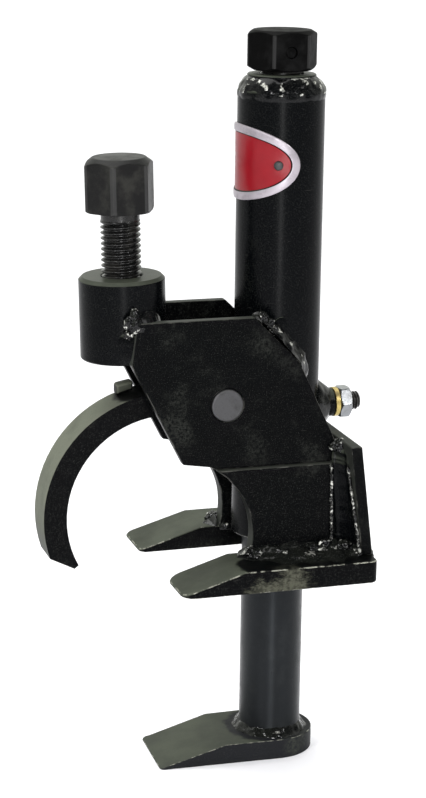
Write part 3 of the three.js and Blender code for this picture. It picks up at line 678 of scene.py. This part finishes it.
def main_screw():
    bottom, top = low("main_screw_head").z, high("main_screw_head").z
    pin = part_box("main_head_pin")
    pin_height = (pin[0].z + pin[1].z) / 2
    pin_radius = (pin[1].z - pin[0].z) / 2
    pin_turn = MAIN_HEX_TURN + math.radians(30)
    chamfer = (16.9 * MM, 2.6 * MM)
    outline = head_outline(bottom, top, chamfer, chamfer, 0.25 * MM, 6)
    data = turned("main_head", outline, 360, hexagon(HEX_FLAT, MAIN_HEX_TURN))
    through = 30 * MM
    hole = pin_bar("pin_hole", pin_radius + 0.25 * MM, -through, through, pin_turn, pin_height, 0.2 * MM)
    data = carve(data, hole)
    mark_wear_and_glint(data, lambda p: 1.0 if math.hypot(p.x, p.y) > 20.5 * MM else 0.0)
    put("main_head_finish", data, [SHADED_HEAD_OXIDE], ["main_screw_head"], body="main_screw")
    reach = HEX_FLAT - 0.8 * MM
    pin_data = pin_bar("head_pin", pin_radius, -reach, reach, pin_turn, pin_height, 0.5 * MM)
    put("head_pin_finish", pin_data, [SHADED_HEAD_OXIDE], ["main_head_pin"], body="main_screw")

    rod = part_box("main_screw_rod")
    crest_radius, tip = rod[1].y, rod[0].z
    root = crest_radius - THREAD_DEPTH
    dog, shoulder = 8 * MM, tip + 9 * MM
    outline = rounded([(0, tip), (dog, tip, 2 * MM), (dog, shoulder, 0.5 * MM), (root, shoulder)])
    outline += [(crest_radius, z) for z in heights(shoulder + 0.05 * MM, bottom + 1 * MM, PITCH / 10)]
    outline.append((0, bottom + 1 * MM))
    groove = thread(crest_radius, THREAD_DEPTH, PITCH, shoulder, bottom - 0.6 * MM, 1.2 * MM)
    data = turned("rod", outline, 72, groove)
    put(
        "main_rod_finish", data, [THREAD_OXIDE], ["main_screw_rod"], body="main_screw",
        sharp=50,
    )


def clamp_screw():
    """Heights are along the tilted axis, from the middle of the boss."""
    turn_back = CLAMP_FRAME.inverted()
    heights_here = [(turn_back @ v.co).z for v in NODES["clamp_screw"].data.vertices]
    tip, top = min(heights_here), max(heights_here)
    bottom = top - 31.6 * MM
    neck = bottom - 5.7 * MM
    neck_radius = 11.2 * MM
    outline = head_outline(bottom, top, (19.6 * MM, 1.2 * MM), (15.4 * MM, 4.4 * MM), 0.6 * MM, 1.2)
    data = turned("clamp_head", outline, 360, hexagon(HEX_FLAT, CLAMP_HEX_TURN), place=CLAMP_FRAME)
    mark_wear_and_glint(data, lambda p: 1.0 if math.hypot(*(turn_back @ p).xy) > 20.1 * MM else 0.0)
    put("clamp_head_finish", data, [OXIDE], ["clamp_screw"], body="clamp_screw")
    outline = [(0, tip), (CLAMP_CREST - 2 * MM, tip)]
    outline += [(CLAMP_CREST, z) for z in heights(tip + 0.1 * MM, neck, PITCH / 10)]
    outline += rounded([
        (CLAMP_CREST, neck), (neck_radius, neck + 0.8 * MM, 0.4 * MM), (neck_radius, bottom + MM),
        (0, bottom + MM),
    ])
    groove = thread(CLAMP_CREST, THREAD_DEPTH, PITCH, tip, neck, 1.6 * MM)
    data = turned("clamp_rod", outline, 72, groove, place=CLAMP_FRAME)
    put("clamp_rod_finish", data, [THREAD_OXIDE], body="clamp_screw", sharp=50)


# ---- turned pieces of the frame
def tube():
    bore = 19.2 * MM
    outline = rounded([
        (bore, TUBE_BOTTOM), (TUBE_RADIUS, TUBE_BOTTOM, 0.8 * MM), (TUBE_RADIUS, TUBE_BOTTOM + 1.5 * MM),
        (TUBE_RADIUS, TUBE_TOP, 5 * MM), (bore, TUBE_TOP),
    ])
    data = turned("tube", outline, 144, loop=True)
    rim_radius, rim_height = 24.8 * MM, TUBE_BOTTOM + 0.9 * MM
    mark_wear_and_glint(data, lambda p: 1.0 if p.z < rim_height and math.hypot(p.x, p.y) > rim_radius else 0.0)
    put("tube_finish", data, [TUBE_PAINT], ["ram_tube"])


def cap():
    top = high("tube_cap").z
    bore, plug, lip = 12.9 * MM, 18.9 * MM, high("tube_cap").x - 2 * MM
    plug_end, seat = TUBE_TOP - 20 * MM, TUBE_TOP + 0.3 * MM
    outline = rounded([
        (bore, plug_end), (plug, plug_end), (plug, seat), (lip, seat), (lip, top, 0.9 * MM),
        (bore, top, 0.8 * MM), (bore, plug_end + 1 * MM),
    ])
    data = turned("cap", outline, 96, loop=True)
    put("cap_finish", data, [TUBE_PAINT], ["tube_cap"])


def tube_top_weld():
    """The rounded, lumpy shoulder of weld between the tube's side and the cap's face, with painted glints on
    its upper lumps.
    """
    shape = [  # (radius, height over the tube's top), in mm
        (25.0, -12), (25.3, -9), (25.7, -6.5), (25.6, -4), (25.0, -2), (24.0, -0.2), (22.8, 1.5),
        (21.3, 3.1), (19.6, 4.4), (18.2, 4.9), (17.0, 4.2), (17.5, 1), (20, -2), (22, -6), (24, -12),
    ]
    outline = []
    for start, end in zip(shape, shape[1:] + shape[:1]):
        for t in (0, 1 / 3, 2 / 3):
            r, z = (u + (v - u) * t for u, v in zip(start, end))
            outline.append((r * MM, TUBE_TOP + z * MM))

    def lumpy(angle, r, z):
        place = (r * math.cos(angle), r * math.sin(angle), z)
        swell = 0.9 * lumps(place, 3, 120) + 0.6 * lumps(place, 8, 280)
        fade = min(1.0, max(0.0, (z - TUBE_TOP + 9 * MM) / (5 * MM)))
        return r + MM * swell * fade

    # Painted glints on the high lumps, only in the top 5 mm.
    def worn(p):
        return crest(lumps(p, 3, 120) + 0.7 * lumps(p, 8, 280)) if p.z > TUBE_TOP - 5 * MM else 0.0

    data = turned("tube_top_weld", outline, 192, lumpy, loop=True)
    mark_wear_and_glint(data, worn)
    put("tube_top_weld", data, [SHOULDER_PAINT], sharp=80)


def boss():
    half, radius, bore = BOSS_HALF_HEIGHT, BOSS_RADIUS, 11.9 * MM
    outline = rounded([
        (bore, -half, 1 * MM), (radius, -half, 1.2 * MM), (radius, half - 2 * MM, 0.8 * MM),
        (radius - 2 * MM, half, 0.6 * MM), (bore, half, 1 * MM), (bore, 0),
    ])
    data = turned("boss", outline, 144, place=CLAMP_FRAME, loop=True)
    turn_back = CLAMP_FRAME.inverted()
    # A thin ring on the boss's top rim, worn bright: chipped paint and a painted highlight along the rim.
    mark_wear_and_glint(data, lambda p: 1.0 if half - 1 * MM < (turn_back @ p).z < half - 0.3 * MM else 0.0)
    put("clamp_boss_finish", data, [TUBE_PAINT], ["clamp_boss"])


def key_stack():
    """The key screw at the back of the tube. Distances are along +X from the tube's axis."""
    hole = 5.86 * MM
    root, tip, radius = 22.5 * MM, high("key_boss").x, high("key_boss").y
    outline = rounded([
        (hole, root), (radius, root), (radius, tip, 0.6 * MM), (hole, tip, 0.4 * MM),
        (hole, root + 0.5 * MM),
    ])
    space_low, space_high, space = KEY_Z - 30 * MM, KEY_Z + 30 * MM, TUBE_RADIUS + 0.3 * MM
    inside = [(0, space_low), (space, space_low), (space, space_high), (0, space_high)]
    data = turned("key_boss", outline, 64, place=KEY_FRAME, loop=True)
    data = carve(data, turned("tube_space", inside, 96))
    put("key_boss_finish", data, [TUBE_PAINT], ["key_boss"])

    start, end, radius = low("key_washer").x, high("key_washer").x, high("key_washer").y
    outline = rounded([
        (hole, start), (radius, start, 0.4 * MM), (radius, end, 0.4 * MM), (hole, end, 0.2 * MM),
        (hole, start + 0.5 * MM),
    ])
    data = turned("washer", outline, 64, place=KEY_FRAME, loop=True)
    put("key_washer_finish", data, [YELLOW_ZINC], ["key_washer"])

    start, end, flat = low("key_nut").x, high("key_nut").x, KEY_NUT_FLAT
    wide = flat * 1.17
    chamfer = heights(0, 1, 0.1)
    shoulder, brow = start + 1.1 * MM, end - 1.4 * MM
    outline = [(hole, start + 0.4 * MM), (hole + 0.4 * MM, start), (flat * 0.96, start)]
    outline += [(flat * 0.98 + (wide - flat * 0.98) * t, start + 1.1 * MM * t) for t in chamfer]
    outline += [(wide, z) for z in heights(shoulder, brow, 1 * MM)[1:]]
    outline += [(wide + (flat * 0.95 - wide) * t, end - 1.4 * MM * (1 - t)) for t in chamfer[1:]]
    outline += [(flat * 0.9, end), (hole + 0.6 * MM, end), (hole, end - 0.6 * MM)]
    sides = hexagon(flat, math.radians(30), corner_power=60)
    data = turned("nut", outline, 120, sides, place=KEY_FRAME, loop=True)
    put("key_nut_finish", data, [BRIGHT_ZINC], ["key_nut"])

    start, end, dog_end = low("key_screw").x, high("key_screw").x, 19.6 * MM
    dog = 4 * MM
    outline = rounded([(0, start), (dog, start, 0.5 * MM), (dog, dog_end), (KEY_CREST, dog_end + 1.2 * MM)])
    outline += [(KEY_CREST, x) for x in heights(dog_end + 1.3 * MM, end - 1.1 * MM, KEY_PITCH / 10)]
    outline += [(KEY_CREST - 1.1 * MM, end - 0.1 * MM), (KEY_CREST - 1.4 * MM, end), (0, end)]
    groove = thread(KEY_CREST, 0.6 * KEY_PITCH, KEY_PITCH, dog_end, end + 2 * MM, 1 * MM)
    data = turned("key_screw", outline, 60, groove, place=KEY_FRAME)
    put("key_screw_finish", data, [THREAD_OXIDE], ["key_screw"], sharp=50)


def key_weld():
    """A lumpy cone of weld where the key boss meets the tube."""
    radius = high("key_boss").y
    stations = []
    for i in range(65):
        angle = 2 * math.pi * i / 64
        y, z = radius * math.cos(angle), radius * math.sin(angle)
        x = math.sqrt(TUBE_RADIUS**2 - y * y)
        skin = Vector((-y, x, 0)) / TUBE_RADIUS * math.cos(angle) + UP * math.sin(angle)
        stations.append(((x, y, KEY_Z + z), Vector((8.5 * MM, 0, 0)), skin.normalized() * 6.5 * MM))
    bead("key_boss_weld", stations, 5, loop=True, bulge=0.05, rough=0.25)


# ---- ram and pin
def ram():
    """The bar, with a spigot in the foot, a keyway at the back and a seat for the button on top."""
    bottom, top = low("ram").z, high("ram").z
    spigot, seat, seat_bottom = 12 * MM, 9.3 * MM, top - 5 * MM
    shoulder = FOOT_TOP + 0.3 * MM
    outline = rounded([
        (0, bottom), (spigot, bottom), (spigot, shoulder), (RAM_RADIUS, shoulder),
        (RAM_RADIUS, top, 2 * MM), (seat, top), (seat, seat_bottom), (0, seat_bottom),
    ])
    slot_floor, slot_half = RAM_RADIUS - 4.5 * MM, 4.5 * MM
    ends = (KEY_Z - 98 * MM, KEY_Z + 9.8 * MM)
    corners = [(x, y, z) for x in (slot_floor, 30 * MM) for y in (-slot_half, slot_half) for z in ends]
    sides = [(0, 1, 3, 2), (4, 6, 7, 5), (0, 4, 5, 1), (2, 3, 7, 6), (0, 2, 6, 4), (1, 5, 7, 3)]
    data = carve(turned("ram", outline, 144), mesh_from("keyway", corners, sides))
    put("ram_finish", data, [RAM_STEEL], ["ram"], body="ram")


def foot_weld():
    """Round the ram, where it stands on the foot."""
    stations = []
    for i in range(97):
        angle = 2 * math.pi * i / 96
        spoke = Vector((math.cos(angle), math.sin(angle), 0))
        stations.append((spoke * RAM_RADIUS + UP * FOOT_TOP, UP * 4.5 * MM, spoke * 4 * MM))
    bead("foot_weld", stations, 11, body="ram", loop=True, bulge=0.05)


def pivot_pin():
    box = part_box("pivot_pin")
    centre = (box[0] + box[1]) / 2
    radius, half = (box[1].x - box[0].x) / 2, (box[1].y - box[0].y) / 2
    place = Matrix.Translation(centre) @ Matrix.Rotation(math.pi / 2, 4, "X")
    outline = rounded([(0, -half), (radius, -half, 1 * MM), (radius, half, 1 * MM), (0, half)])
    data = turned("pin", outline, 96, place=place)
    mark_wear_and_glint(data, lambda p: 0.4 if abs(p.y) > half - 0.7 * MM and abs(p.y) < half - 0.1 * MM else 0.0)
    put("pivot_pin_finish", data, [PIN_STEEL], ["pivot_pin"])


# ---- badge
def badge():
    """A plain oval: a silver rim round a red field, with black painted shade in the groove between them,
    curved with the tube.
    """
    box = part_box("badge_plate")
    half_height = (box[1].z - box[0].z) / 2
    middle = (box[0].z + box[1].z) / 2
    skin = TUBE_RADIUS + 0.3 * MM
    profile = [  # (inwards from the edge, height over the tube's skin, material), in mm; material 2 is black paint in the groove inside the rim, a painted shade
        (0, 0, 0), (0, 0.75, 0), (0.35, 1.1, 0), (1.2, 1.25, 0), (2.6, 1.3, 0), (4, 1.25, 0), (4.6, 1.1, 0),
        (4.8, 0.55, 2), (5.3, 0.5, 2), (5.45, 0.6, 1),
    ]
    columns = 128
    points, faces, marks, rings = [], [], [], []

    def add_ring(length, height, lift):
        ring = []
        for i in range(columns):
            t = 2 * math.pi * i / columns
            angle = math.pi + length * math.cos(t) / TUBE_RADIUS
            x, y = (skin + lift) * math.cos(angle), (skin + lift) * math.sin(angle)
            ring.append(len(points))
            points.append((x, y, middle + height * math.sin(t)))
        rings.append(ring)

    materials = []
    for inset, lift, material in profile:
        add_ring(BADGE_HALF_LENGTH - inset * MM, half_height - inset * MM, lift * MM)
        materials.append(material)
    for share in (0.8, 0.6, 0.4, 0.2, 0.04):
        add_ring((BADGE_HALF_LENGTH - BADGE_RIM) * share, (half_height - BADGE_RIM) * share, 0.6 * MM)
        materials.append(1)
    front = len(rings)
    for share in (0.75, 0.5, 0.25, 0.04):
        add_ring(BADGE_HALF_LENGTH * share, half_height * share, 0.0)
    back = [rings[0]] + rings[front:]
    strips = list(zip(rings[:front], rings[1:front], materials[1:]))
    strips += [(b, a, 0) for a, b in zip(back, back[1:])]
    for a, b, material in strips:
        for i in range(columns):
            j = (i + 1) % columns
            faces.append((a[i], a[j], b[j], b[i]))
            marks.append(material)
    faces += [tuple(rings[front - 1]), tuple(back[-1])]
    marks += [1, 0]
    data = mesh_from("badge", points, faces, marks)
    # The third finish, black paint, is painted shade in the groove inside the rim.
    finishes = [RIM_SILVER, BADGE_RED, PLATE_PAINT]
    put("badge_finish", data, finishes, ["badge_plate"])
    for side in ("near", "far"):
        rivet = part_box(f"badge_rivet_{side}")
        centre = (rivet[0] + rivet[1]) / 2
        angle = math.atan2(centre.y, centre.x)
        outwards = Matrix.Rotation(angle, 4, "Z") @ Matrix.Rotation(math.pi / 2, 4, "Y")
        place = Matrix.Translation((0, 0, middle)) @ outwards
        base, radius, rise = skin + 0.62 * MM, 2.7 * MM, 1.3 * MM
        arc = heights(0, math.pi / 2, 0.25)
        dome = [(radius * math.cos(a), base + 0.25 * MM + rise * math.sin(a)) for a in arc]
        outline = [(0, base), (radius, base)] + dome[:-1] + [(0, dome[-1][1])]
        data = turned(f"rivet_{side}", outline, 40, place=place)
        put(f"badge_rivet_{side}_finish", data, [PIN_STEEL], [f"badge_rivet_{side}"])


# ---- welds of the frame
def rear_front(z):
    """X of the rear plate's front face at a height."""
    bottom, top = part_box("rear_plate")
    lean = (top.x - REAR_PLATE_THICKNESS - bottom.x) / (top.z - bottom.z)
    return top.x - REAR_PLATE_THICKNESS - (z - bottom.z) * lean


def directions(side):
    """Out from the middle, towards the jaws, and up, each 1 mm long. side is -1 near the viewer."""
    return (Vector(v) * MM for v in ((0, side, 0), (-1, 0, 0), (0, 0, 1)))


def fork_welds(name, side):
    """Where the leg plate and the rear plate stand on the fork plate."""
    out, fore, up = directions(side)
    seed, z = 20 + side, FORK_TOP
    throat, corner = THROAT_BACK_X, rear_front(z)
    outside, inside, edge = side * LEG_OUTER, side * LEG_INNER, side * REAR_PLATE_HALF_WIDTH
    bead(f"leg_base_weld_{name}", [
        ((throat - 1 * MM, inside, z), up * 4, fore * 6),
        ((throat - 1 * MM, outside - side * 2 * MM, z), up * 5, (fore + 0.3 * out) * 7),
        ((throat + 2 * MM, outside, z), up * 6, (out + 0.5 * fore) * 8),
        ((throat + 9 * MM, outside, z), up * 5, out * 14),
        ((throat + 20 * MM, outside, z), up * 6, out * 20),
        ((corner - 12 * MM, outside, z), up * 6, out * 20),
        ((corner, outside, z), up * 8, out * 19),
    ], seed, bulge=-0.10, rough=0.55, lump_size=6 * MM)
    knob = (throat + 1 * MM, side * (LEG_OUTER + 2 * MM), z + 1.5 * MM)
    dollop(f"leg_front_lump_{name}", knob, (5 * MM, 5 * MM, 4.5 * MM), 61 + side)
    lumps_along = ((0.3, 4, 2.5, 3), (0.6, 5, 3, 4), (0.72, 4, 4, 3.5), (0.9, 6, 3, 4))
    for number, (share, stand, lift, reach) in enumerate(lumps_along):
        x = throat + (corner - throat) * share
        place = (x, side * (LEG_OUTER + stand * MM), z + lift * MM)
        radii = (1.4 * reach * MM, reach * MM, 0.9 * reach * MM)
        dollop(f"leg_base_lump_{number}_{name}", place, radii, 70 + side + 3 * number, rough=0.6)
    sunk = z - 2 * MM
    bead(f"leg_inner_weld_{name}", [
        ((throat, inside, sunk), up * 4, out * -3), ((corner, inside, sunk), up * 4, out * -3),
    ], seed + 1)
    bead(f"rear_base_weld_{name}", [
        ((corner, outside, z), up * 7, fore * 9),
        ((corner, side * 46 * MM, z), up * 6, fore * 7),
        ((corner, edge, z), up * 4, fore * 5),
    ], seed + 4, bulge=0.0, rough=0.4, lump_size=5 * MM)
    behind, sunk = corner + REAR_PLATE_THICKNESS - MM, z - 1.5 * MM
    bead(f"rear_back_weld_{name}", [
        ((behind, side * 27 * MM, sunk), up * 3.5, fore * -3), ((behind, edge, sunk), up * 3.5, fore * -3),
    ], seed + 5)


def rear_corner_weld(name, side):
    """The wide fillet between the plates' outer faces and the rear plate, with ridges beside it dotted with
    painted glints.
    """
    out, fore, _ = directions(side)
    top, ankle = high("rear_plate").z, FORK_TOP + 12 * MM
    bead(f"leg_rear_weld_{name}", [
        ((rear_front(FORK_TOP), side * LEG_OUTER, FORK_TOP), fore * 13, out * 16.8),
        ((rear_front(ankle), side * LEG_OUTER, ankle), fore * 9.5, out * 12),
        ((rear_front(SEAM), side * LEG_OUTER, SEAM), fore * 7.5, out * 9.5),
        ((rear_front(top) + MM, side * SIDE_OUTER, top - MM), fore * 5, out * 7),
    ], 23 + side, bulge=-0.12, rough=0.05, toe=0.07, material=TUBE_PAINT)
    low_z = FORK_TOP + 2 * MM
    ridges = ((-12.5, 0.3, -7.2, 0.3), (-0.3, 16.3, -0.3, 9.6))  # mm from the corner: x and y, low and high
    for number, (low_x, low_y, high_x, high_y) in enumerate(ridges):
        low_end = (rear_front(low_z) + low_x * MM, side * (LEG_OUTER + low_y * MM), low_z)
        high_end = (rear_front(SEAM) + high_x * MM, side * (LEG_OUTER + high_y * MM), SEAM)
        legs = (fore * 1.3, out * 1.3)
        ridge = bead(
            f"leg_rear_toe_{number}_{name}", [(low_end, *legs), (high_end, *legs)], 50 + number,
            bulge=0.6, rough=0.4, lump_size=2.2 * MM,
        )
        # The whole ridge is marked, so its chipping is a dotted painted glint along it.
        mark_wear_and_glint(ridge.data, lambda p: 0.95)
    crown = (rear_front(top) - 1 * MM, side * (SIDE_OUTER + 1 * MM), top - 4 * MM)
    dollop(f"rear_top_lump_{name}", crown, (5.5 * MM, 4.5 * MM, 4 * MM), 31 + side)


def tube_welds(name, side):
    """Where the side plate runs tangent to the tube."""
    out, _, up = directions(side)
    top = high(f"side_plate_{name}").z
    skin = side * TUBE_RADIUS
    start = [((-24 * MM, skin, top - MM), up * 5, out * 6)] if side < 0 else []
    bead(f"tube_side_weld_{name}", start + [
        ((-17 * MM, skin, top - 4 * MM), up * 6, out * 6.5),
        ((-8 * MM, skin, top - 14 * MM), Vector((4.2, 0, 4.2)) * MM, out * 6.5),
        ((4 * MM, skin, top - 28 * MM), Vector((4.8, 0, 3.6)) * MM, out * 6.5),
        ((9 * MM, skin, top - 40 * MM), Vector((3.6, 0, 1.6)) * MM, out * 5),
    ], 26 + side, bulge=0.0, rough=0.2, lump_size=4 * MM)
    near_lumps = ((-18, 1, 3.2), (-14.5, 4.5, 2.8), (-11, 9, 2.4)) if side < 0 else ()
    for number, (x, drop, reach) in enumerate(near_lumps):
        place = (x * MM, skin + side * 3 * MM, top - drop * MM)
        radii = (reach * MM, 0.8 * reach * MM, reach * MM)
        dollop(f"tube_side_lump_{number}_{name}", place, radii, 82 + side + 3 * number)
    for end, way, drop in (("front", -1, 2), ("rear", 1, 50)):
        spread = Vector((way * 8 * MM, 0, 0))
        toe = spread * 0.8 - out * 4.5
        x, y = way * 4.7 * MM, side * 25.2 * MM
        bead(f"tube_{end}_weld_{name}", [
            ((x, y, TUBE_BOTTOM + MM), spread, toe), ((x, y, top - drop * MM), spread, toe),
        ], 27 + side, bulge=0.05, rough=0.06, material=TUBE_PAINT)


def boss_welds(name, side):
    """Where the side plate runs tangent to the clamp boss."""
    out, fore, up = directions(side)
    front, top = low(f"side_plate_{name}").x, high(f"side_plate_{name}").z
    skin = side * (SIDE_OUTER - 7 * MM)
    bead(f"boss_front_weld_{name}", [
        ((front + 6 * MM, skin, top - 1 * MM), fore * 11 - out * 2, out * 7.5),
        ((front + 4 * MM, skin, top - 12 * MM), fore * 12 - out * 3, out * 7.5),
        ((front + 3 * MM, skin, top - 20 * MM), fore * 9 - out * 2, out * 7.4),
        ((front + 2 * MM, skin, top - 26 * MM), fore * 5 - out, out * 7.2),
    ], 28 + side, bulge=-0.06, rough=0.04, material=TUBE_PAINT)
    for number, (x, y, z, reach) in enumerate(((1.5, 3, 1, 5.2), (4, 2.5, -3, 4.2), (-0.5, 4, -7, 3.0))):
        knob = (front + x * MM, side * (SIDE_OUTER - y * MM), top + z * MM)
        radii = (reach * MM, 0.8 * reach * MM, 1.1 * reach * MM)
        dollop(f"boss_front_lump_{number}_{name}", knob, radii, 41 + side + 3 * number)
    x = CLAMP_CENTRE.x
    bead(f"boss_top_weld_{name}", [
        ((x + 1 * MM, side * 25.5 * MM, top - MM), up * 7.5, out * 7),
        ((x + 9 * MM, side * 24 * MM, top - MM), up * 7, out * 7),
        ((x + 17 * MM, side * 20 * MM, top - MM), up * 5, out * 6),
    ], 29 + side, bulge=-0.05, rough=0.10, material=SHOULDER_PAINT)


# ---- the object
for side_name, side_sign in (("near", -1), ("far", 1)):
    finish_node(f"fork_plate_{side_name}", 1.3 * MM, PRONG_PAINT)
    finish_node(f"leg_plate_{side_name}", 0.9 * MM, PLATE_PAINT)
    finish_node(f"side_plate_{side_name}", 0.9 * MM, PLATE_PAINT)
    fork_welds(side_name, side_sign)
    rear_corner_weld(side_name, side_sign)
    tube_welds(side_name, side_sign)
    boss_welds(side_name, side_sign)
finish_node("rear_plate", 0.9 * MM, PLATE_PAINT)
finish_node("ram_foot", 1.2 * MM, FOOT_PAINT)
finish_node("hook_arm", 1.1 * MM, ARM_PAINT)
finish_node("arm_pad", 2.0 * MM, LUG_PAINT)
tube()
cap()
tube_top_weld()
boss()
key_stack()
key_weld()
ram()
foot_weld()
pivot_pin()
main_screw()
clamp_screw()
badge()

# CAD nodes that show as they are
KEPT = {
    "pivot_spacer_near": OXIDE, "pivot_spacer_far": OXIDE,
    "clamp_ball": BUTTON_STEEL, "thrust_button": BUTTON_STEEL,
}
for kept_node, kept_material in KEPT.items():
    NODES[kept_node].data.materials.clear()
    NODES[kept_node].data.materials.append(kept_material)


# ---- floor, light and camera
def floor():
    corners = ((-20, -20, 0), (20, -20, 0), (20, 20, 0), (-20, 20, 0))
    data = mesh_from("floor", corners, [(0, 1, 2, 3)])
    data.materials.append(floor_surface())
    new_object("floor", data)


def lamp(name, kind, place, target, energy, **settings):
    data = bpy.data.lights.new(name, kind)
    data.energy = energy
    for key, value in settings.items():
        setattr(data, key, value)
    obj = new_object(name, data)
    obj.location = place
    obj.rotation_euler = (Vector(target) - Vector(place)).to_track_quat("-Z", "Y").to_euler()


def camera():
    yaw, elevation, roll = (math.radians(a) for a in (-17.27, 14.94, 0.711))
    distance = 1.3
    target = Vector((-0.0389, 0, 0.21267))
    level = math.cos(elevation)
    back = Vector((math.sin(yaw) * level, -math.cos(yaw) * level, math.sin(elevation)))
    right = (-back).cross(UP).normalized()
    above = right.cross(-back)
    rolled_right = right * math.cos(roll) + above * math.sin(roll)
    rolled_up = above * math.cos(roll) - right * math.sin(roll)
    data = bpy.data.cameras.new("camera")
    data.lens = 98.79
    data.shift_y = 0.02185
    data.clip_start = 0.01
    obj = new_object("camera", data)
    axes = Matrix((rolled_right, rolled_up, back)).transposed().to_4x4()
    obj.matrix_world = Matrix.Translation(target + back * distance) @ axes
    bpy.context.scene.camera = obj


def surroundings():
    """A pale studio: bright behind the tool and dim behind the camera, with a strip light and spots."""
    world = bpy.data.worlds.new("studio")
    world.use_nodes = True
    nodes, links = world.node_tree.nodes, world.node_tree.links
    split = nodes.new("ShaderNodeSeparateXYZ")
    links.new(nodes.new("ShaderNodeTexCoord").outputs["Generated"], split.inputs[0])
    fade = nodes.new("ShaderNodeMapRange")
    fade.interpolation_type = "SMOOTHSTEP"
    links.new(split.outputs["Y"], fade.inputs["Value"])
    for socket, value in (("From Min", -0.5), ("From Max", 0.4), ("To Min", 0.15), ("To Max", 1.15)):
        fade.inputs[socket].default_value = value
    links.new(fade.outputs["Result"], nodes["Background"].inputs["Strength"])
    nodes["Background"].inputs["Color"].default_value = (0.98, 1.0, 0.94, 1)
    bpy.context.scene.world = world
    bpy.context.scene.view_settings.view_transform = "Standard"
    middle = (-0.04, 0, 0.2)
    lamp("sky_panel", "SUN", (-0.2, 0.6, 2.0), middle, 2.2, angle=math.radians(50))
    lamp("strip", "AREA", (-0.30, -1.21, 0.35), middle, 7, shape="RECTANGLE", size=0.16, size_y=1.1)
    lamp("spot_front", "AREA", (-0.45, -1.45, 0.95), middle, 10, size=0.24)
    lamp("spot_right", "AREA", (0.75, -1.2, 1.1), middle, 10, size=0.22)
    lamp("spot_left", "AREA", (-1.1, -0.8, 1.1), middle, 8, size=0.24)


floor()
camera()
surroundings()
